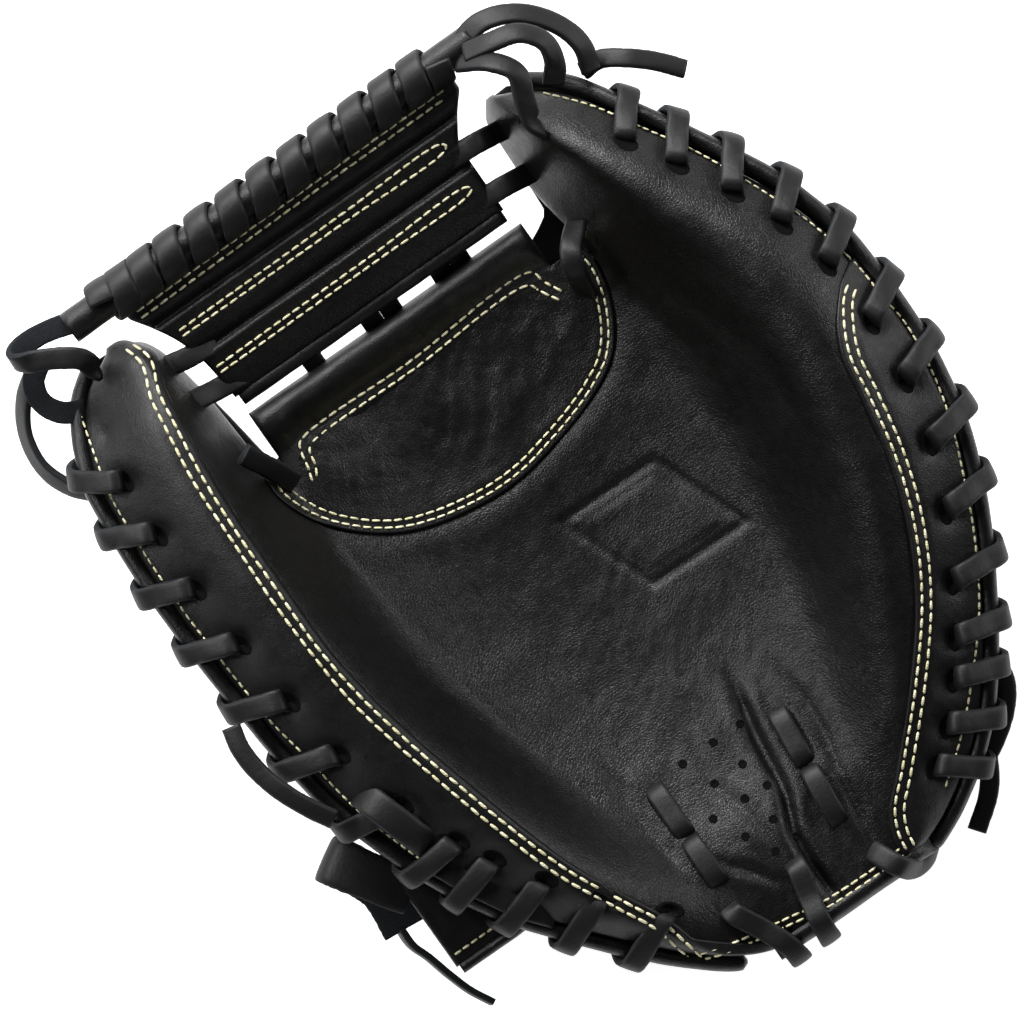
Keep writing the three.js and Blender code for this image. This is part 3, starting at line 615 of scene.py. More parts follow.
# ---------- palm side ----------
U_SEAM = np.array([[-55, 50], [-55, 43], [-50, 31], [-40, 20], [-30, 13.5], [-20, 10], [-10, 8], [0, 7],
    [10, 7.5], [20, 9.5], [30, 12], [40, 15.5], [50, 21], [57, 30], [61, 40], [62, 48], [60, 56]], float)
THUMB_ROWS = np.array([[107, -69, -66.5], [100, -67.5, -64.5], [90, -71, -68], [80, -72.5, -69.5],
    [60, -75, -72], [40, -75.5, -73], [20, -76, -73], [0, -75.5, -73], [-20, -74, -71], [-40, -70, -67],
    [-60, -65, -62], [-80, -59.5, -56.5], [-100, -53, -50], [-120, -43.5, -40.5], [-130, -38.5, -35.5],
    [-140, -36, -33], [-147, -34.5, -31.5]], float)
FINGER_ROW = np.array([[128, -1], [120, -5], [114, -13], [110, -22], [108, -35], [104, -55], [97, -75],
    [86, -95], [70, -115], [51, -135], [43, -143], [39.5, -150], [38.5, -156]], float)
SEAM_APART = 2.8
SEAM_WIDTH = 1.3
SEAM_DEPTH = 0.45
PANEL_RISE = 1.2
DIMPLE_R = 4.2
DIMPLE_DEPTH = 1.9
PANEL_LAP = 2.6  # the panels' edges lie this far inside the inner row


def beside(line, distance):
    """The line moved to its left by a distance."""
    along = unit(np.gradient(line, axis=0))
    return line + distance * np.stack([-along[:, 1], along[:, 0]], -1)


thumb_outer_row = along_line(THUMB_ROWS[:, [1, 0]], 2)
thumb_inner_row = along_line(THUMB_ROWS[:, [2, 0]], 2)
finger_inner_row = along_line(FINGER_ROW, 2)
finger_outer_row = beside(finger_inner_row, SEAM_APART)
u_outer = along_line(U_SEAM, 2)
u_inner = beside(u_outer, 2.2)
PALM_CREASES = [  # line, width, depth, height of its lips
    ([[26, -76], [21, -100], [18, -120], [13, -133], [13, -166]], 1.9, 2.3, 0.6),
    ([[-14, -122], [-4, -134], [3, -146]], 1.5, 1.2, 0.3),
    ([[38, -80], [39, -106], [35, -126], [30, -156]], 1.8, 0.9, 0.3),
    ([[4, -84], [2, -104], [6, -122], [8, -150]], 1.7, 0.6, 0.2),
    ([[-22, -74], [-23, -102], [-20, -134]], 2.4, 0.8, 0.2),
    ([[-62, 26], [-58, 4], [-53, -22], [-45, -52]], 2.4, 0.7, 0.3),
    ([[-60, 48], [-61, 30], [-59, 10]], 1.5, 0.5, 0.3),
    ([[76, 34], [84, 12], [88, -12], [84, -38]], 2.8, 0.8, 0.4),
    ([[66, 42], [70, 22], [74, 2]], 1.8, 0.5, 0.2),
    ([[64, 52], [71, 56], [76, 66]], 1.6, 0.8, 0.4),
]
DIAMOND = (33, -29)
DIAMOND_HALF = (28, 19)


def embossed(x, y):
    """A plain double diamond pressed into the pocket."""
    dx, dy = x - DIAMOND[0], y - DIAMOND[1]
    across = dx * math.cos(VIEW_TURN) - dy * math.sin(VIEW_TURN)
    upward = dx * math.sin(VIEW_TURN) + dy * math.cos(VIEW_TURN)
    inside = np.clip(1 - (np.abs(across) / DIAMOND_HALF[0] + np.abs(upward) / DIAMOND_HALF[1]), 0, 1)
    depth = -0.5 * np.clip(inside / 0.2, 0, 1)
    for share, deep in ((1, 0.9), (0.8, 0.5)):
        wide, high = DIAMOND_HALF[0] * share, DIAMOND_HALF[1] * share
        off = np.abs(across) / wide + np.abs(upward) / high - 1
        depth = depth + deep * np.exp(-(off / math.hypot(1 / wide, 1 / high) / 1.25) ** 2)
    return depth


def palm_skin(x, y):
    """The palm leather's height: slack and creased in the pocket, drawn tight at the seams."""
    z = palm_z(x, y) + 0.5 * noise(x, y, 34, 31) + 0.22 * noise(x, y, 12, 32)
    slack = np.exp(-((x - 5) / 62) ** 2)
    z = z + slack * 0.22 * np.abs(noise(x, y, 14, 33, 5, 0.8))
    for line, width, depth, lips in PALM_CREASES:
        (ax, ay), (bx, by) = line[0], line[-1]
        near_end = np.minimum(np.hypot(x - ax, y - ay), np.hypot(x - bx, y - by))
        fade = np.clip(near_end / 16, 0, 1) ** 1.5
        z = z + fade * groove(along_line(line, 5), x, y, width, depth, lips)
    z = z + groove(u_outer[::4], x, y, 3.2, 0.9, 0.25)
    return z - embossed(x, y)


middle_left = curve([[-160, 2], [-100, -24], [-40, -40], [20, -47], [31, -51], [50, -55], [80, -57],
    [98, -60], [105, -63], [110, -70]])
middle_right = curve([[-160, 26], [-100, 44], [-40, 56], [20, 58], [31, 60], [50, 64.5], [67, 62],
    [80, 60.5], [100, 61], [107, 65]])


def palm_left(y):
    rim = inset(thumb_edge_x, WELT_R + 0.8)(y)
    return np.maximum(thumb_seam_x(y), rim + 2) + 0.6


def palm_right(y):
    rim = inset(finger_edge_x, -WELT_R - 0.8)(y)
    return np.where(y < -1, np.minimum(finger_seam_x(y) - 0.6, rim - 2), rim)


PALM_STEP = 1.2
INNER_ROLL = 3.5  # the leather rolls down where it borders the web


def palm_grid():
    ys = np.unique(np.concatenate([rows(HEEL_Y, FINGER_TOP_Y - 0.5, PALM_STEP),
        [THUMB_TOP_Y - 2, THUMB_TOP_Y - 0.8, THUMB_TOP_Y - 0.5]]))
    left, right, lo, hi = palm_left(ys), palm_right(ys), middle_left(ys), middle_right(ys)
    parts = [a[:, None] * (1 - share) + b[:, None] * share for a, b, share in ((left, lo, lanes(24, 1.2)),
        (lo, hi, np.linspace(0, 1, 92)), (hi, right, 1 - lanes(52, 1.2)[::-1]))]
    x = np.concatenate([parts[0], parts[1][:, 1:-1], parts[2]], axis=1)
    y = np.broadcast_to(ys[:, None], x.shape)
    z = palm_skin(x, y)
    column = np.arange(x.shape[1])
    for inner, is_side in ((lo, column < parts[0].shape[1]),
            (hi, column >= x.shape[1] - parts[2].shape[1])):
        off = np.abs(x - inner[:, None])
        z = z - np.where((y > 48) & is_side, rounded(off, INNER_ROLL), 0)
    z = z - rounded(y - ys[0], 1.5)
    z = z - np.where(x < 0, rounded(THUMB_TOP_Y - 0.5 - y, 3), rounded(FINGER_TOP_Y - 0.5 - y, 3))
    z = z - np.where(y > -1, rounded(x[:, -1:] - x, 2.0), 0)
    cx, cy = middles(x), middles(y)
    is_middle = (cx > middle_left(cy)) & (cx < middle_right(cy))
    seam_y = curve([[-60, 52], [-55, 40], [-50, 31], [-40, 20], [-28, 12.5], [-12, 8], [0, 7], [18, 9],
        [38, 15], [50, 21], [57, 31], [62, 44], [64, 54]])
    keep = ~(is_middle & (cy > seam_y(cx) + 5)) & ~((cx > 0) & (cy > FINGER_TOP_Y - 0.5))
    return shell(xyz(x, y, z), xyz(x, y, z - LEATHER + 0.4), keep)


put("palm_skin", *palm_grid(), PALM, BOTH, ["palm_leather", "thumb_inner_panel", "finger_front_panel"])


def patch_grid():
    """The U-shaped panel under the lip, fanned out from the lip's edge."""
    border = beside(u_outer, -1.9)
    border = along_line(border[::3], 1.4)
    share = np.linspace(0, 1, len(border))
    upper = np.stack([mix(-50, 57, share), np.full_like(share, 53.5)], -1)
    v = lanes(45, 1.4)[:, None, None]
    plan = mix(upper[None], border[None], v)
    x, y = plan[..., 0], plan[..., 1]
    rim = np.linalg.norm(plan - border[None], axis=-1)
    z = palm_z(x, y) + 1.1
    calm = np.clip((rim - 6) / 10, 0, 1)
    for turn, cell, size, seed in ((0.9, 18, 0.3, 41), (-0.7, 13, 0.2, 42), (0.2, 8, 0.1, 43)):
        ridge = 1 - np.abs(noise(x, y, cell, seed, cell * 0.38, turn)) * 1.7
        z = z + calm * size * np.clip(ridge, 0, 1) ** 2
    z = z + calm * (1.3 * noise(x, y, 24, 44) + 0.5 * noise(x, y, 11, 45))
    z = z + groove(u_outer[::3], x, y, 1.1, 0.45, 0.3) + groove(u_inner[::3], x, y, 1.1, 0.45)
    z = z - rounded(rim, 1.3) * 0.9
    return shell(xyz(x, y, z)[:, ::-1], xyz(x, y, z - 2.4)[:, ::-1])


def patch_z(x, y):
    return palm_z(x, y) + 0.85


put("pocket_patch", *patch_grid(), PALM, BOTH, ["pocket_panel"])


def panel_z(x, y, seams, cell, seed, side):
    """A panel lying over the palm leather: grooved at its seams, dimpled at its lace holes."""
    z = palm_z(x, y) + PANEL_RISE + 0.35 * noise(x, y, cell, seed) + 0.12 * noise(x, y, 8, seed + 1)
    for line in seams:
        z = z + groove(line[::5], x, y, SEAM_WIDTH, SEAM_DEPTH)
    return z - sum(DIMPLE_DEPTH * np.exp(-(np.hypot(x - hx, y - hy) / DIMPLE_R) ** 2) for hx, hy,
        _ in lace_holes[side])


def thumb_panel_z(x, y):
    return panel_z(x, y, (thumb_outer_row, thumb_inner_row), 22, 51, "thumb")


def finger_panel_z(x, y):
    return panel_z(x, y, (finger_inner_row, finger_outer_row), 20, 53, "finger")


def thumb_lap_x(y):
    inner = curve(THUMB_ROWS[::-1][:, [0, 2]].tolist())
    return np.maximum(inner(y) + PANEL_LAP, inset(thumb_edge_x, WELT_R + 0.8)(y) + 5)


def sew(ys, left, right, height, step=1.2, thick=2.6, round_top=1.3):
    return layer(ys, left, right, height, lambda x, y: height(x, y) - thick, step, round_top=round_top,
        round_bottom=0.1)


TIP_FROM_Y = 100


def tip_turn(y):
    """From 0 to 1 up the thumb's rounded tip."""
    up = np.clip((y - TIP_FROM_Y) / (THUMB_TOP_Y + 0.5 - TIP_FROM_Y), 0, 1)
    return 1 - np.sqrt(1 - up ** 2)


put("thumb_panel_skin", *sew(rows(HEEL_Y + 0.5, THUMB_TOP_Y + 0.5, 1.3),
    lambda y: inset(thumb_edge_x, WELT_R - 0.6)(y) + 3 * tip_turn(y),
    lambda y: thumb_lap_x(y) - 7 * tip_turn(y), thumb_panel_z), PANEL, BOTH, ["thumb_panel"])

finger_lap_x = curve([[-160, 35], [-156, 36], [-150, 37.2], [-143, 40.5], [-135, 48.5], [-115, 67.5],
    [-95, 83.5], [-75, 94.4], [-55, 101.4], [-35, 105.3], [-22, 107.5], [-13, 111.2], [-5, 117.5],
    [0, 123], [2.5, 127.6]])
put("finger_panel_skin", *sew(rows(HEEL_Y + 0.5, 2.2, 1.3), finger_lap_x,
    inset(finger_edge_x, -WELT_R + 0.6), finger_panel_z), PANEL, BOTH, ["finger_panel"])

LIP_X = (-50, 52)
LIP_LEVEL = 0.8  # how far the lip's section starts over the palm
# The lip's section: distance up the palm from its hem, and height over the patch.
LIP_SECTION = [[0, -0.7], [1.2, 0.1], [2.8, 0.7], [5, 0.9], [7.2, 1.6], [10.5, 5.6], [14, 8.6], [17, 9.0],
    [19.3, 7.4], [20.6, 4], [20.4, -1.0], [18.8, -4.5], [15, -5.4], [9, -5.6], [4, -3.6], [1, -2.2]]


def lip_hem(share):
    """How far up the palm the lip's hem runs, from its thumb end to its finger end."""
    return 48.6 + 1.6 * share


def lip_rings():
    profile = spline(LIP_SECTION, np.linspace(0, 1, 49)[:-1], loop=True)
    u = lanes(LIP_X[1] - LIP_X[0], 1.5)
    x = mix(*LIP_X, u)
    hem = lip_hem(u) - 4.5 * np.exp(-((x - LIP_X[0]) / 7) ** 2)
    hem = hem - 3.5 * np.exp(-((x - LIP_X[1]) / 6) ** 2)
    end = np.minimum(x - LIP_X[0], LIP_X[1] - x)
    fat = 1 - 0.55 * (rounded(end, 9) / 9) ** 1.2
    reach = (70.4 - hem) / 21.4
    a = profile[None, :, 0] * reach[:, None]
    fat_here = mix(1, fat[:, None], np.clip(a / 8, 0, 1))
    y = hem[:, None] + a
    x = x[:, None]
    wrinkles = 0.55 * noise(x, a, 13, 61, 9) + 0.3 * noise(x, a, 5, 62, 12)
    lift = profile[None, :, 1] * fat_here + np.where(profile[None, :, 1] > 1.5, wrinkles, 0)
    return xyz(x, y, palm_z(x, np.minimum(y, LIP_Y[0])) + LIP_LEVEL + lift)


put("pocket_lip_roll", *tube(lip_rings()), PANEL, BOTH, ["pocket_lip"])


def lip_z(x, y):
    hem = lip_hem((x - LIP_X[0]) / (LIP_X[1] - LIP_X[0]))
    return palm_z(x, np.minimum(y, LIP_Y[0])) + LIP_LEVEL + curve(LIP_SECTION[:7])(y - hem)


# ---------- piping and binding ----------
def piping(edge_x, edge_z, low, high, holes, seed):
    """A leather roll along the rim, nipped in under each lace."""
    def radius_at(line, run):
        nip = sum(np.exp(-(np.linalg.norm(line - (h + [0, 5, 0]), axis=1) - 12) ** 2 / 30) for h in holes)
        radius = WELT_R * (1.03 - 0.08 * np.clip(nip, 0, 1) + 0.05 * noise(run, 0, 11, seed))
        ends = np.minimum(run, run[-1] - run)
        return radius * np.sqrt(np.clip(1 - ((2.5 - np.minimum(ends, 2.5)) / 2.6) ** 2, 0.05, 1))
    y = np.linspace(low, high, 90)
    return cord(xyz(edge_x(y), y, edge_z(y)), 1.5, 14, radius_at)


put("thumb_piping", *piping(thumb_edge_x, thumb_edge_z, -156, 109, lace_holes["thumb"], 71), EDGE, BOTH,
    ["thumb_welt"])
put("finger_piping", *piping(finger_edge_x, finger_edge_z, -159.5, 106, lace_holes["finger"], 72), EDGE,
    BOTH, ["finger_welt"])

BINDING_X = (-12, 47)
x = mix(*BINDING_X, lanes(BINDING_X[1] - BINDING_X[0], 1.6))
fold = spline([[1.6, 1.0], [0.2, 1.7], [-1.8, 1.2], [-3.3, -0.8], [-3.6, -5], [-2.8, -8.6], [-0.9, -9],
    [-0.4, -4], [-0.6, -1.4], [0.2, -0.4], [1.6, -0.2]], np.linspace(0, 1, 40)[:-1], loop=True)
slim = np.clip(np.minimum(x - BINDING_X[0], BINDING_X[1] - x) / 4, 0.3, 1)[:, None]
binding = xyz(x[:, None], HEEL_Y + fold[None, :, 0] + 0.25 * noise(x, 0, 9, 73)[:, None],
    palm_z(x, HEEL_Y)[:, None] - 0.4 + fold[None, :, 1] * slim)
put("heel_binding_roll", *tube(binding), EDGE, BOTH, ["heel_binding"])


# ---------- back ----------
thumb_back_x = curve([[-158, -6], [-140, -24], [-112, -40], [-60, -45], [20, -50], [60, -54], [98, -61],
    [110, -70]])
finger_back_x = curve([[-158, 34], [-140, 48], [-112, 52], [-64, 50], [-57, 6], [30, 4], [52, 12],
    [64, 52], [70, 61], [98, 62], [107, 67]])
INDEX_SLOT_X = (14, 34)
INDEX_SLOT_Y = (-26, 12)
FINGER_SEAMS = [[[58, -46], [59, 0], [62, 46], [70, 74], [72, 94]], [[86, -70], [90, 0], [87, 46],
    [81, 76], [79, 92]]]
THUMB_SEAM = [[-66, -58], [-72, 0], [-73, 60], [-72, 96]]


def back_skin(x, y):
    z = back_z(x, y) + 0.3 + 0.25 * (1 + noise(x, y, 26, 81))
    for line in [*FINGER_SEAMS, THUMB_SEAM]:
        z = z - groove(along_line(line, 8), x, y, 2.4, 1.6)
    return z


def back_top(x, y):
    return back_z(x, y) + SHELL_T


def outside_slot(x, y):
    return ~((x > INDEX_SLOT_X[0]) & (x < INDEX_SLOT_X[1]) & (y > INDEX_SLOT_Y[0])
        & (y < INDEX_SLOT_Y[1]))


skin("thumb_back_skin", PANEL, THUMB, "thumb_back_shell", rows(HEEL_Y, THUMB_TOP_Y - 0.5, 2),
    lambda y: thumb_edge_x(y) + 1.6, thumb_back_x, back_top, back_skin, 2, 60, 0.8, 1.3)
skin("finger_back_skin", PANEL, FINGER, "finger_back_shell", rows(HEEL_Y, FINGER_TOP_Y - 0.5, 2),
    finger_back_x, lambda y: finger_edge_x(y) - 1.6, back_top, back_skin, 2, 110, 0.8, 1.3, outside_slot)


def roll(name, points, radius, body, material=EDGE, replaces=(), seed=85, squeeze=1.0):
    """A rolled leather edge along points."""
    strand = cord(points, 1.6, 12, lambda line, run: radius * (1 + 0.06 * noise(run, 0, 12, seed)),
        squeeze)
    put(name, *strand, material, body, replaces, slot="edge_leather")


def on_back(line, lift=0.0):
    line = np.array(line, float)
    return np.column_stack([line, back_z(line[:, 0], line[:, 1]) + lift])


opening_y = np.linspace(-57, 40, 24)


def beside_opening(edge_x, off):
    return np.column_stack([edge_x(opening_y) + off, opening_y])


roll("back_opening_roll_finger", on_back(beside_opening(finger_back_x, -0.4), 2.3), 2.1, FINGER)
roll("back_opening_roll_thumb", on_back(beside_opening(thumb_back_x, 0.4), 2.3), 2.1, THUMB)
(x0, x1), (y0, y1) = INDEX_SLOT_X, INDEX_SLOT_Y
roll("index_slot_roll", on_back([[x0, y0 + 3], [x0, y1 - 3], [x0 + 3, y1], [x1 - 3, y1], [x1, y1 - 3],
    [x1, y0 + 3], [x1 - 3, y0], [x0 + 3, y0], [x0, y0 + 3.1]], 2.4), 1.7, FINGER)


# ---------- inner walls, pads, linings, loops ----------
def wall(inner_x, inward, low, high, thick=2.4):
    y = mix(low, high, lanes(high - low, 2))
    share = lanes(34, 2)
    x = inner_x(y) + inward * 0.6
    bottom = back_z(x, y) + SHELL_T + LAYER_GAP
    top = palm_z(x, y) - LEATHER - LAYER_GAP + 1.5
    z = bottom[:, None] * (1 - share) + top[:, None] * share
    y = y[:, None]
    near = xyz(x[:, None] + inward * 0.5 * noise(y, z, 16, 91), y, z)
    far = near + [inward * thick, 0, 0]
    near[:, 0] += [inward * 0.5, 0, 0]
    return shell(near, far) if inward < 0 else shell(near[::-1], far[::-1])


put("thumb_stall_wall", *wall(thumb_inner_x, -1, 54, 104), PANEL, THUMB, ["thumb_inner_wall"])
put("finger_stall_wall", *wall(finger_inner_x, 1, 70, 103), PANEL, FINGER, ["finger_inner_wall"])
x = mix(-46, 50, lanes(96, 2))
share = lanes(26, 2)[None, :]
low = (back_z(x, 64.5) + SHELL_T + LAYER_GAP)[:, None]
high = (palm_z(x, LIP_Y[0]) - 6.5)[:, None]
z = mix(low, high, share)
front = xyz(x[:, None], 66 + 0.4 * noise(x[:, None], z, 18, 92), z)
put("pocket_end_leather", *shell(front, front - [0, 2.6, 0]), PANEL, FINGER, ["pocket_end_wall"])

PAD_DROP = LEATHER + LAYER_GAP + 0.6
MIN_PAD = 4
FOLD_GAP = 3
THUMB_ROOM = 20


def fold_x(y):
    return mix(FOLD_FROM[0], FOLD_TO[0], (y - FOLD_FROM[1]) / (FOLD_TO[1] - FOLD_FROM[1]))


def pad_top(x, y):
    return palm_z(x, y) - PAD_DROP - 0.3 + 0.3 * noise(x, y, 18, 93)


def pad_bottom(x, y):
    room = np.maximum(HAND_ROOM_Z + 3, back_z(x, y) + SHELL_T + LAYER_GAP)
    return np.minimum(room, palm_z(x, y) - PAD_DROP - MIN_PAD)


def thumb_pad_bottom(x, y):
    room = back_z(x, y) - thumb_lift(y) + THUMB_LIFT + SHELL_T + THUMB_ROOM
    return np.minimum(room, palm_z(x, y) - PAD_DROP - MIN_PAD)


pad_left, pad_right = inset(thumb_edge_x, 17.5), inset(finger_edge_x, -17.5)
PADS = [("palm_felt", rows(-148, 49, 3), lambda y: fold_x(y) + FOLD_GAP,
    lambda y: np.maximum(pad_right(y), fold_x(y) + FOLD_GAP + 6), pad_bottom, FINGER, "palm_pad"),
    ("finger_felt", rows(50.5, 98, 3), lambda y: finger_inner_x(y) + 4.5, pad_right, pad_bottom, FINGER,
    "finger_pad"), ("thumb_felt", rows(-124, 95, 3), pad_left, lambda y: np.minimum(fold_x(y) - FOLD_GAP,
    thumb_inner_x(y) - 4.5), thumb_pad_bottom, THUMB, "thumb_pad"),]
for name, ys, left, right, bottom, body, node in PADS:
    pad = skin(name, FELT, body, node, ys, left, right, pad_top, bottom, 3, None, 2.5, 2.0)

LINING_T = 1.4


def lining_z(x, y):
    return HAND_ROOM_Z + LINING_T + 0.3 * noise(x, y, 17, 94)


def under_shell(x, y):
    return back_z(x, y) + SHELL_T + LAYER_GAP


skin("palm_lining", LINING, FINGER, "hand_lining", rows(-150, 48, 3), lambda y: fold_x(y) + FOLD_GAP,
    lambda y: np.maximum(finger_wall_x(y), 34), lining_z, lambda x, y: lining_z(x, y) - LINING_T, 3, None,
    0.5, 0.3)
skin("back_lining_skin", LINING, FINGER, "back_lining", rows(-54, 44, 3), lambda y: 40 + 0 * y,
    lambda y: 70 + 0 * y, lambda x, y: under_shell(x, y) + LINING_T, under_shell, 3, None, 0.5, 0.4)


def lace(name, points, out, body, node, width=LACE_W, thickness=LACE_T, seed=5, material=LACE):
    """A lace over given points. out is one direction, or one for each point."""
    line = along_line(points, 0.9)
    out = np.array(out, float)
    if out.ndim == 1:
        out = np.tile(out, (2, 1))
    facing = unit(spline(out, np.linspace(0, 1, len(line))) if len(out) > 2
        else mix(out[0], out[1], np.linspace(0, 1, len(line))[:, None]))
    vertices, faces, flesh = ribbon(line, facing, width, thickness, seed)
    obj = put(name, vertices, faces, material, body, [node] if node else (), {"flesh": flesh})
    return obj, line


def arch(x0, x1, y, floor, rise):
    return [[x0, y, floor], [mix(x0, x1, 0.15), y, floor + rise * 0.7],
        [mix(x0, x1, 0.5), y, floor + rise], [mix(x0, x1, 0.85), y, floor + rise * 0.7], [x1, y, floor]]


lace("thumb_loop_strap", arch(-66, -52, -10, 25, 8), UP, THUMB, "thumb_loop", 14, 2, 6, PANEL)
lace("little_finger_strap", arch(44, 68, -36, 11, 12), UP, FINGER, "little_finger_loop", 14, 2, 7, PANEL)

# ---------- wrist strap ----------
STRAP_X = (-95, 48)
STRAP_T = 3.4
STRAP_LOW = 0.6


def strap_z(x, y):
    return np.where(x < BACK_FLAT_X[0], back_z(x, y) - THUMB_LIFT, 0) + STRAP_LOW


strap_rows = [[[x, y] for x in range(-93, 47, 4)] for y in (STRAP_Y[0] + 3, STRAP_Y[1] - 3)]


def strap_skin(x, y):
    z = strap_z(x, y) + 0.15 * (1 + noise(x, y, 14, 95))
    for line in strap_rows:
        z = z - groove(line, x, y, 1.2, 0.35)
    return z


def strap_top(x, y):
    return strap_z(x, y) + STRAP_T


skin("wrist_strap_skin", PANEL, BOTH, "wrist_strap", rows(STRAP_Y[0] - 2.2, STRAP_Y[1], 1.8),
    lambda y: STRAP_X[0] + 0 * y, lambda y: STRAP_X[1] + 0 * y, strap_top, strap_skin, 1.8, None, 1.1,
    1.1)
roll("strap_roll", [[x, STRAP_Y[0] - 3.2, strap_z(x, STRAP_Y[0]) + 1.9] for x in (-94, -84, -74, -64, -54,
    -46, -38, -20, 10, 46)], 1.9, BOTH, replaces=["strap_edge_roll"])
pad = skin("strap_felt", FELT, FINGER, "strap_pad", rows(STRAP_Y[0] + 2, STRAP_Y[1] - 2, 3),
    lambda y: -4 + 0 * y, lambda y: 46 + 0 * y, lambda x, y: strap_top(x, y) + 6
    + 0.3 * noise(x, y, 12, 96), lambda x, y: strap_top(x, y) + 0.8, 3, None, 2.4, 1)
lace("strap_loop", [[-93, -79, 57], [-98, -72, 59], [-104, -63, 59.5], [-107.5, -57.5, 58],
    [-108.5, -56, 55], [-107.5, -57.5, 52], [-104, -63, 50.5], [-100, -74, 48], [-101, -87.5, 43]],
    [UP, UP, UP, UP, [-0.52, 0.86, 0], DOWN, DOWN, DOWN, DOWN], THUMB, "strap_lace_loop", 15, 2.4, 8)

# ---------- web ----------
WEB_TOP_Y = 113
WEB_LOW_Y = 78.4
WEB_T = 4.4
WEB_ROLL_Y = 75.2
RAIL_Z = 76
RAIL_X = (-79.5, 71.5)
RAIL_Y = (121.6, 123.6)
web_left_x = curve([[72, -50], [88, -51.5], [98, -54], [106, -58], [113.5, -63]])
web_right_x = curve([[72, 50], [98, 50], [106, 54], [113.5, 60]])
web_shape = curve([[74, 0.2], [76.5, 1.0], [81, 1.7], [85, 1.1], [87, 1.1], [91, 1.5], [93.4, -1.4],
    [94.6, 0.6], [98, 1.9], [100.2, 1.2], [102.4, 1.2], [105.5, 1.6], [107.6, -1.5], [109, 0.6],
    [111, 1.4], [113, 0.6], [116, 0.4]])


def web_z(x, y):
    up = np.clip((y - 72) / 50, 0, 1)
    return 50 + 26 * up + 4 * (x / 55) ** 2 * (1 - up)


def web_face(x, y):
    return web_z(x, y) + WEB_T / 2 + web_shape(y) + 0.3 * noise(x, y, 24, 101, 8) - 0.6


skin("web_face_leather", PALM, BOTH, "web_front_leather", rows(WEB_LOW_Y - 2.5, WEB_TOP_Y + 7, 0.9),
    web_left_x, web_right_x, web_face, lambda x, y: web_z(x, y) - WEB_T / 2, 1.6, None, 1.4, 0.8)
skin("web_rear_leather", PANEL, BOTH, "web_back_leather", rows(WEB_LOW_Y + 1, WEB_TOP_Y + 5, 1.6),
    lambda y: web_left_x(y) + 2, lambda y: web_right_x(y) - 2, lambda x, y: web_z(x, y) - WEB_T / 2 - 0.8,
    lambda x, y: web_z(x, y) - WEB_T / 2 - 3.4 - 0.3 * noise(x, y, 20, 102, 8), 2, None, 0.6, 1)
roll("web_foot_roll", [[x, WEB_ROLL_Y, web_z(x, WEB_ROLL_Y)] for x in (-49, -30, 0, 30, 49)], 2.9, BOTH,
    PANEL, ["web_bottom_roll"], 103, 0.9)
roll("web_rail", [[mix(*RAIL_X, t), mix(*RAIL_Y, t), RAIL_Z] for t in (0, 0.2, 0.4, 0.6, 0.8, 1)], RAIL_R,
    BOTH, PANEL, ["web_top_rail"], 104)

WRAP_CENTRES_X = [-66.5, -59, -51, -41.5, -30.2, -18.5, -6.8, 4.8, 16.2, 27.5, 39, 49.8, 58.5]
WRAP_T = 1.9
WRAP_TURNS = len(WRAP_CENTRES_X) - 1
turns = np.linspace(0, WRAP_TURNS, WRAP_TURNS * 44 + 1)
angle = -turns * 2 * math.pi + math.pi * 0.5
centre_x = curve([[i, x] for i, x in enumerate(WRAP_CENTRES_X)])(turns)
axis = xyz(centre_x, mix(*RAIL_Y, (centre_x + 79) / 150), RAIL_Z)
out = xyz(0, np.cos(angle), np.sin(angle))
radius = RAIL_R + 0.55 + WRAP_T / 2 + 0.35 * noise(turns * 20, 0, 9, 105)
centres = axis + out * radius[:, None]
lean = out + xyz(0.10 * noise(turns * 20, 0, 14, 106), 0, 0)
vertices, faces, flesh = ribbon(centres, unit(lean), 8.2, WRAP_T, seed=107)
put("web_wrap_rawhide", vertices, faces, LACE, BOTH, ["web_wrap_lace"], {"flesh": flesh})


def on_palm(x, y, lift=1.0):
    """A lace's centre at (x, y) when its underside is lift above the palm."""
    return [x, y, palm_z(x, y) + LACE_T / 2 + lift]


for name, y in (("upper", 94), ("lower", 81)):
    edge = float(web_left_x(y))
    z = web_z(edge, y)
    lace("web_rawhide_thumb_" + name, [on_palm(-66, y + 1, -7), on_palm(-61, y + 1, -3.5),
        [edge - 3, y, z + 3], [edge + 3, y - 0.5, z + 1], [edge + 7, y - 1, z - 1]], UP, BOTH,
        "web_lace_thumb_" + name, seed=int(y))
for name, y in (("upper", 97), ("lower", 81.5)):
    edge = float(web_right_x(y))
    z = web_z(edge, y)
    lace("web_rawhide_finger_" + name, [[edge - 7, y + 1, z - 1], [edge - 3, y + 0.5, z + 1],
        [edge + 4, y, z + 4], on_palm(64, y - 1, -3.5), on_palm(69, y - 1.5, -7)], UP, BOTH,
        "web_lace_finger_" + name, seed=int(y))
FOOT_LACES = [("thumb", -24.5, "thumb"), ("middle", -2.6, "middle"), ("middle_two", 4.3, None),
    ("finger", 23.4, "finger"), ("finger_two", 30.2, None)]
for name, x, node in FOOT_LACES:
    low, high = palm_z(x, LIP_Y[0]) + 2.5, web_z(x, WEB_ROLL_Y) - 1.5
    lace("web_rawhide_foot_" + name, [[x, 64, low - 1], [x, 68, low], [x, 72, mix(low, high, 0.5)],
        [x, 76, high], [x, 80, high - 1]], UP, BOTH, "web_lace_foot_" + node if node else None,
        seed=30 + int(x))

# ---------- laces on the palm and round the heel ----------
def bridge(start, end, lifts):
    """Points from start to end over the palm, lifts being (share of the way, lift) pairs."""
    return [on_palm(mix(start[0], end[0], t), mix(start[1], end[1], t), lift) for t, lift in lifts]


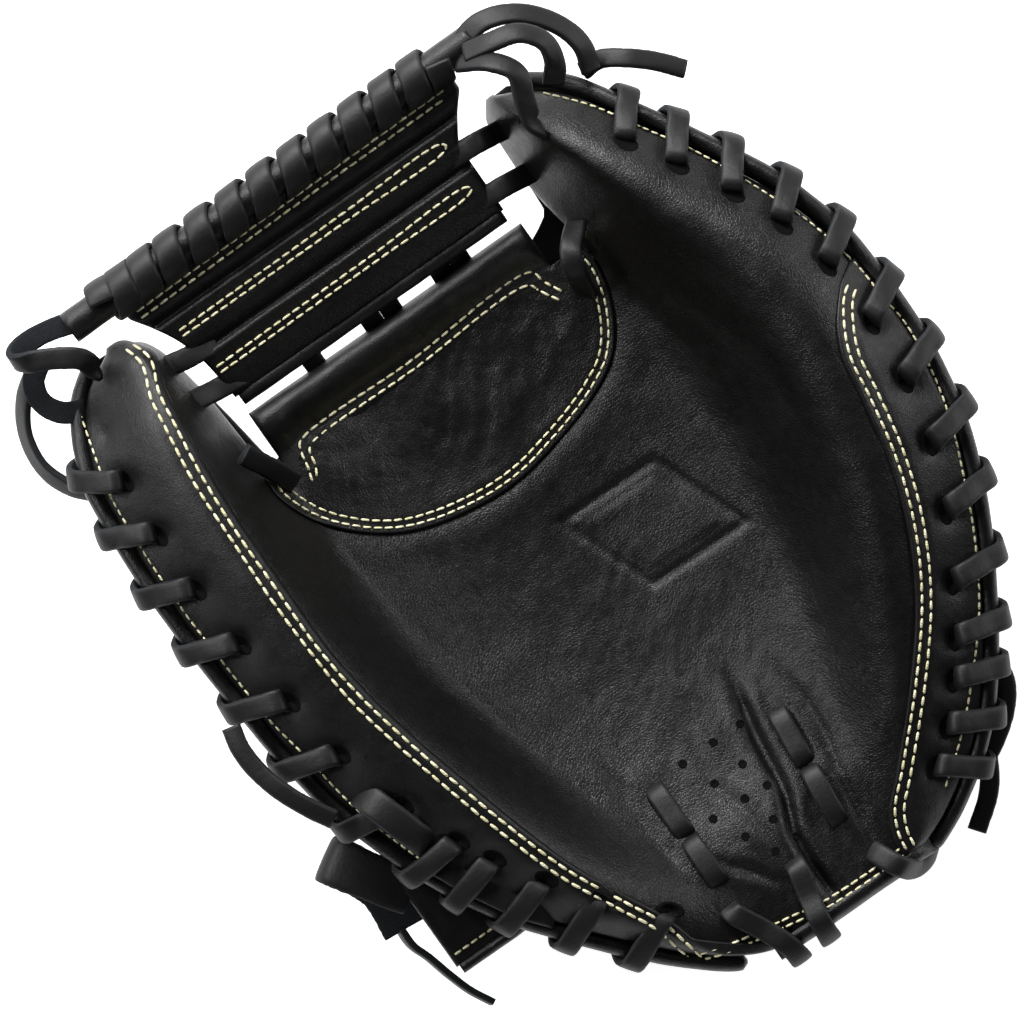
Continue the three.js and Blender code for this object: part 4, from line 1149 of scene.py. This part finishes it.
for name, ends in (("thumb", [[-14, -95], [-14, -114], [-14, -132]]),
        ("finger", [[30.5, -97], [28.5, -117], [26.5, -138]])):
    for k in range(2):
        stitch = bridge(ends[k], ends[k + 1], ((0.03, -4), (0.06, -1.5), (0.16, 0.3), (0.5, 0.9),
            (0.84, 0.3), (0.94, -1.5), (0.97, -4)))
        lace(f"palm_rawhide_{name}_{k + 1}", stitch, UP, BOTH, "palm_lace_" + name if k == 0 else None,
            LACE_W - 0.2, seed=41 + k)
for name, x0, x1 in (("thumb", -16, -7), ("finger", 8, 4)):
    heel_z = palm_z(x1, HEEL_Y)
    lace("heel_rawhide_" + name, [on_palm(x0, -138.5, -2.5), on_palm(x0, -141, 0.6),
        on_palm(mix(x0, x1, 0.5), -150, 1.2), on_palm(mix(x0, x1, 0.9), -158.5, 3.4),
        [x1, HEEL_Y - 6.6, heel_z - 1], [x1, HEEL_Y - 6.3, heel_z - 12]],
        [UP, UP, UP, [0, -0.3, 1], [0, -1, 0.4], [0, -1, 0]], BOTH, "heel_lace_" + name, seed=51)

FLAT_FROM, FLAT_TO = (-88, -44.5), (-79.5, -72)
lace("thumb_rawhide_flat", bridge(FLAT_FROM, FLAT_TO, ((0.02, -3.5), (0.06, -0.5), (0.22, 3.4),
    (0.5, 4.7), (0.8, 3), (0.94, -0.5), (0.98, -3.5))), UP, THUMB, None, 9.2, 2.4, seed=57)
lace("thumb_rawhide_run", [on_palm(thumb_edge_x(y) + 5, y, lift) for y,
    lift in ((-75, -2), (-78, 0.6), (-84, 1.2), (-92, 1.3), (-100, 1.2), (-106, 0.8), (-110, -2))], UP,
    THUMB, None, 7.6, seed=58)
lace("heel_rawhide_corner", [on_palm(29.5, -149, -2.5), on_palm(31, -152.5, 0.8),
    on_palm(34, -158.5, 3.2), [38.5, -162.5, 50], [45.5, -161.5, 45], [49, -156, 38], [49, -150, 34]],
    [UP, UP, [0, -0.3, 1], [0.1, -0.7, 0.8], [0.4, -1, 0.4], [0.5, -1, 0], [0.5, -0.5, -1]], FINGER, None,
    seed=59)

# ---------- loops, knots and ends at the corners ----------
lace("thumb_tip_rawhide", [[-74, 121, 74], [-82, 124, 72.5], [-91, 125.5, 72.5], [-97.5, 124.5, 74.5],
    [-99, 123, 76.5], [-97, 121, 78], [-89, 117, 78], [-82, 112, 77], on_palm(-80, 106, 2)],
    [DOWN, DOWN, DOWN, [-0.6, 0.2, -0.8], [-1, 0.1, 0.2], UP, UP, UP, [0.2, 0.6, 1]], BOTH,
    "thumb_tip_lace", seed=61)
lace("thumb_tip_rawhide_under", [[-92, 119, 71], [-98, 114.5, 69], [-99.4, 108, 67], [-96, 102, 66],
    [-90, 99, 64]], DOWN, THUMB, None, seed=60)
lace("thumb_tip_bow", [[-97, 117, 66], [-104, 112, 62], [-109.5, 103, 59], [-111, 92, 58], [-108, 83, 58],
    [-103, 77, 57]], [-1, 0.3, 0.6], THUMB, "thumb_tip_loop", seed=62)
BOW_OUT = [0.5, 0.4, 1]
lace("finger_tip_bow_outer", [[66, 123.5, 78], [76, 126, 80], [87, 122, 79], [95.5, 112, 76],
    [98, 103, 74], [96, 95, 70]], BOW_OUT, FINGER, "finger_tip_loop_outer", seed=63)
lace("finger_tip_bow_middle", [[67, 121, 82], [76, 119, 85], [84, 116.5, 85], [89, 110, 83],
    [88, 103, 79], [84, 98, 76]], BOW_OUT, FINGER, "finger_tip_loop_middle", seed=64)
lace("finger_tip_bow_inner", [[64, 119.5, 81], [72, 114, 87], [76.5, 107, 88], [74, 99, 86], [72, 92, 82],
    [73, 88, 76]], BOW_OUT, FINGER, "finger_tip_loop_inner", seed=65)
lace("lip_rawhide_finger", [on_palm(56, 40, -1), [57, 47, 66], [59, 53, 68], on_palm(66, 60, 3)],
    [[-0.4, 0, 1], [-0.2, -0.4, 1], [-0.4, 0, 1]], FINGER, "lip_knot_finger", seed=66)
lace("lip_rawhide_thumb", [on_palm(-50.5, 44, 2), on_palm(-54, 52, 7), on_palm(-58, 60, 7)], UP, BOTH,
    "lip_knot_thumb", seed=67)

TAIL_W = 6
TAIL_UPPER = [(-99, -47, 82), (-103, -40, 83), (-107, -31, 83), (-109.5, -22, 82), (-110, -13, 81.5),
    (-108.5, -6, 81)]
TAIL_LOWER = [(-103, -86.5, 42), (-103, -93, 40), (-101, -99, 38), (-99, -107, 35), (-96.5, -115, 32),
    (-93, -122, 30)]
for name, points, out in (("upper", TAIL_UPPER, [-0.3, 0, 1]), ("lower", TAIL_LOWER, [-1, 0, 0.25])):
    tail, line = lace("thumb_tail_" + name, points, out, THUMB, "lace_tail_thumb_" + name, TAIL_W, LACE_T,
        68)
lace("finger_end", [[94, 96.5, 63], [100, 96.5, 66], [107, 92, 68], [114, 86, 66], [120, 79, 64]],
    [0.2, 0.2, 1], FINGER, "lace_end_finger", TAIL_W, LACE_T, 69)
lace("heel_end", [[74, -134, 40], [77, -143, 42], [74, -150.5, 43], [69, -157, 42], [60, -164, 40]], UP,
    FINGER, "lace_end_heel", TAIL_W, LACE_T, 70)
lace("heel_end_bow", [[84, -112, 50], [92, -121, 49], [93.5, -129, 48], [89, -137, 46], [80, -144, 45],
    [72, -148, 44]], UP, FINGER, None, seed=74)

# ---------- stitching ----------
THREAD_R = 0.4
STITCH_RINGS = np.array([[0, -0.55, 0.35], [0.07, -0.05, 0.8], [0.2, 0.3, 1], [0.5, 0.42, 1.04],
    [0.8, 0.3, 1], [0.93, -0.05, 0.8], [1, -0.55, 0.35]])
STITCH_SIDES = 6


def stitches(line, height, pitch=3.8, dash=3.1, radius=THREAD_R, seed=1, skew=0.05, turned=0.0, side=1):
    """Thread along a line in plan on the surface height(x, y). side -1 is the under side."""
    rand = np.random.RandomState(seed)
    fine = along_line(line, 0.4)
    run = run_of(fine)
    count = int(run[-1] // pitch)
    start = (np.arange(count) + 0.1) * (run[-1] / count)
    length = dash * rand.uniform(0.93, 1.04, count)
    share, lift, fat = STITCH_RINGS.T
    at = start[:, None] + length[:, None] * share
    x, y = np.interp(at, run, fine[:, 0]), np.interp(at, run, fine[:, 1])
    dx, dy = np.gradient(x, axis=1), np.gradient(y, axis=1)
    size = np.hypot(dx, dy)
    nx, ny = -dy / size, dx / size
    yaw = (rand.uniform(-skew, skew, count)[:, None] + turned) * (share - 0.5) * length[:, None]
    x, y = x + nx * yaw, y + ny * yaw
    z = height(x, y) + side * lift * radius * 1.5
    centre = np.stack([x, y, z], -1)
    along = unit(np.gradient(centre, axis=1))
    across = unit(np.cross(along, [0, 0, 1.0]))
    up = np.cross(across, along)
    turn = np.linspace(0, 2 * math.pi, STITCH_SIDES, endpoint=False)
    offset = (across[:, :, None] * np.cos(turn)[:, None] + up[:, :, None] * np.sin(turn)[:, None])
    vertices = centre[:, :, None] + offset * (radius * fat)[None, :, None, None]
    rings = len(STITCH_RINGS)
    ring = np.arange(rings * STITCH_SIDES).reshape(rings, STITCH_SIDES)
    around = np.roll(ring, -1, axis=1)
    one = np.stack([ring[:-1], ring[1:], around[1:], around[:-1]], -1).reshape(-1, 4)
    step = rings * STITCH_SIDES
    faces = (one[None] + np.arange(count)[:, None, None] * step).reshape(-1, 4).tolist()
    for k in range(count):
        faces += [(ring[0] + k * step).tolist(), (ring[-1][::-1] + k * step).tolist()]
    tone = np.repeat(rand.rand(count), step)
    return vertices.reshape(-1, 3), faces, tone


def thread(name, rows_of):
    vertices, faces, tone = join(rows_of)
    put(name, vertices, faces, THREAD, BOTH, attributes={"stitch": tone})


THUMB_STITCH = [[-90, 105], [-95, 87], [-98.5, 72], [-100, 50], [-100.2, 30], [-99, 5], [-98, -10],
    [-95.5, -25], [-91.5, -50], [-88, -62], [-83.5, -76]]
FINGER_STITCH = [[80, 98], [90, 86], [98.5, 72], [108, 56], [117, 36], [124, 18], [128, 0], [129, -12],
    [130, -26], [126, -50], [117, -74], [108, -93], [98, -109], [85, -124], [73, -136], [59, -147]]
HEEL_STITCH = np.array([[-32, -147.5], [-20, -151], [-1, -154.5], [6.5, -156], [29, -156.8], [42, -156]])


def rim_z(x, y):
    """The surface that the rim's stitches sit on."""
    return np.where(x < 0, thumb_panel_z(x, y), np.where(y > 1, palm_skin(x, y), finger_panel_z(x, y)))


def seams(kind, surface, first_seed, lines):
    """One row of thread on each line. kind is the thread's pitch, dash and radius."""
    return [stitches(line, surface, *kind, seed=first_seed + k) for k, line in enumerate(lines)]


THICK = (3.8, 3.1, 0.45)
MIDDLE = (3.6, 2.9, 0.4)
FINE = (3.3, 2.6, 0.37)
CLOSE = (2.9, 2.1, 0.33)
SHORT = (3.5, 2.8, 0.38)
thread("palm_stitching", [*seams(THICK, thumb_panel_z, 1, [thumb_outer_row, thumb_inner_row]),
    *seams(MIDDLE, finger_panel_z, 3, [finger_inner_row[3:], finger_outer_row[3:]]),
    *seams(FINE, patch_z, 5, [u_outer, u_inner])])
thread("edge_stitching", [*seams(CLOSE, rim_z, 7, [THUMB_STITCH, FINGER_STITCH]),
    *seams(FINE, lambda x, y: palm_z(x, y) + 0.6, 9, [HEEL_STITCH]), *seams(FINE,
    lambda x, y: palm_z(x, y) + 0.5, 10, [HEEL_STITCH + [0, 2.2]])])
LIP_ROWS = [[[-46, 41], [-44.5, 45.5], [-43.5, 50.5], [-42, 53.4], [0, 54.4], [46, 55.5], [47.5, 51],
    [50.5, 45]], [[-44, 41.5], [-42.2, 45], [-41.2, 49.4], [-39.5, 51], [0, 51.8], [43, 52.6], [45, 49],
    [48.5, 43]]]
thread("lip_stitching", seams(SHORT, lambda x, y: np.where(y > 50, lip_z(x, y) + 0.1,
    patch_z(x, y) + 1.1), 11, LIP_ROWS))
WEB_ROWS = [[[-60, 111.6], [-38, 112.2], [0, 112.9], [54, 113.4]], [[-60, 114], [-38, 114.5], [0, 115.1],
    [56, 115.7]], [[-53, 100], [-25, 100.1], [10, 100.2], [45, 100.4], [46.6, 101.6], [45, 103],
    [10, 102.7], [-25, 102.3], [-53, 102]], [[-50, 84.5], [-25, 84.8], [10, 85.2], [44, 85.6],
    [45.6, 86.8], [44, 88], [10, 87.4], [-25, 87], [-50, 86.6]]]
thread("web_stitching", seams(SHORT, lambda x, y: web_face(x, y) - 0.05, 21, WEB_ROWS))


def under(line, surface, seed, off=0):
    """A row of thread on the under side, moved sideways by off."""
    return stitches(np.array(line, float) + [off, 0], surface, seed=seed, side=-1)


thread("back_stitching", [*(under(line, back_skin, 31 + k, off) for k,
    (line, off) in enumerate((s, o) for s in FINGER_SEAMS for o in (-3.2, 3.2))),
    *(under(THUMB_SEAM, back_skin, 41 + off, off) for off in (-3, 3)), under(beside_opening(finger_back_x,
    4.5), back_skin, 45), under(beside_opening(thumb_back_x, -4.5), back_skin, 46)])
thread("strap_stitching", [under(line, strap_skin, 51 + k) for k, line in enumerate(strap_rows)]
    + [stitches([[-93.5, STRAP_Y[0] + 1.4], [-60, STRAP_Y[0] + 1.4]], strap_top, 2.9, 2.3, 0.38,
    seed=53)])

# ---------- painted shade: near-black discs in the holes punched through the palm and in the lace holes ---
PUNCHED = [(-2.5, -95), (9, -95), (19, -95), (2, -105.5), (12.5, -105.5), (-4.5, -114), (7, -114.5),
    (15, -115), (0.5, -124), (10.5, -124.5), (5.5, -133), (13.5, -133)]
HOLE_RINGS = np.array([[1, -0.25], [0.87, 0.05], [0.74, 0.16], [0.6, 0.06], [0.5, -0.06],
                       [0.3, -0.02]])  # share of the radius, height over the leather


PUNCHED_RADII = (1.5, 1.5)
LACE_HOLE_RADII = (4.3, 2.6)
HOLE_INWARD = 0.9  # from the lace's centre


def holes(name, places, surface, radii, lift=0.1):
    """Near-black discs of painted shade in openings at (x, y, the turn of their long axis); radii are their
    long and short ones.
    """
    a = np.linspace(0, 2 * math.pi, 16, endpoint=False)
    share, rise = HOLE_RINGS.T[:, :, None]
    u, v = radii[0] * share * np.cos(a), radii[1] * share * np.sin(a)
    pieces = []
    for x, y, turn in places:
        px = x + u * math.cos(turn) - v * math.sin(turn)
        py = y + u * math.sin(turn) + v * math.cos(turn)
        pieces.append((*tube(xyz(px, py, surface(px, py) + rise + lift)), a))
    vertices, faces, _ = join(pieces)
    put(name, vertices, faces, HOLE_SHADE, BOTH)


holes("punched_hole_shade", [(*place, 0) for place in PUNCHED], palm_skin, PUNCHED_RADII)
for side, surface, toward in (("thumb", thumb_panel_z, 1), ("finger", rim_z, -1)):
    edge_x = LACE_EDGES[side][1]
    places = []
    for hx, hy, _ in lace_holes[side][:-1]:
        slope = float(slope_of(edge_x, hy))
        inward = np.array([toward, -toward * slope]) / math.hypot(1, slope)
        px, py = np.array([hx, hy]) + HOLE_INWARD * inward
        places.append((px, py, math.atan2(inward[1], inward[0]) + math.pi / 2))
    holes(side + "_lace_hole_shade", places, surface, LACE_HOLE_RADII)

# ---------- floor and light ----------
floor_nodes = Nodes("pale_floor")
floor_tone = floor_nodes.blend_colours(floor_nodes.noise(300, 2), (0.86, 0.86, 0.86), (0.90, 0.90, 0.90))
floor_nodes.give(floor_nodes.shader, {"Emission Color": (1, 1, 1, 1), "Emission Strength": 0.88})
floor_nodes.finish(floor_tone, floor_nodes.ramp(floor_nodes.noise(50), 0, 1, 0.9, 0.95),
    floor_nodes.bump(floor_nodes.noise(5), 0.02, 0.2), 0.1)
FLOOR_HALF = 4
mesh = bpy.data.meshes.new("floor")
mesh.from_pydata([(x * FLOOR_HALF, y * FLOOR_HALF, -0.0005) for x, y in ((-1, -1), (1, -1), (1, 1),
    (-1, 1))], [], [(0, 1, 2, 3)])
mesh.materials.append(floor_nodes.material)
ground = bpy.data.objects.new("floor", mesh)
bpy.context.scene.collection.objects.link(ground)

world = bpy.data.worlds.new("studio")
world.use_nodes = True
background = world.node_tree.nodes["Background"].inputs
background["Color"].default_value = (1, 1, 1, 1)
background["Strength"].default_value = 0.03
bpy.context.scene.world = world
bpy.context.scene.view_settings.view_transform = "Standard"
UP_IN_VIEW = np.array([math.sin(VIEW_TURN), math.cos(VIEW_TURN), 0])
RIGHT_IN_VIEW = np.array([math.cos(VIEW_TURN), -math.sin(VIEW_TURN), 0])


def softbox(name, right, up, rise, size, watts):
    """An area light at a place given in the camera's own right and up, aimed at the mitt."""
    data = bpy.data.lights.new(name, "AREA")
    data.shape = "RECTANGLE"
    data.size, data.size_y = size
    data.energy = watts
    light = bpy.data.objects.new(name, data)
    bpy.context.scene.collection.objects.link(light)
    place = RIGHT_IN_VIEW * right + UP_IN_VIEW * up + np.array([0, 0, rise])
    back = unit(place - [0, 0, 0.05])
    side = unit(np.cross(UP_IN_VIEW, back))
    light.matrix_world = mathutils.Matrix(np.vstack([np.column_stack([side, np.cross(back, side), back,
        place]), [0, 0, 0, 1]]).tolist())


softbox("key", -0.45, 1.3, 0.95, (1.1, 0.5), 36)
softbox("right", 1.4, 0.7, 0.75, (0.35, 1.0), 9)
softbox("left", -1.1, 0.35, 1.0, (0.35, 0.9), 14)
softbox("low", 0.2, -1.45, 0.6, (1.1, 0.4), 2)
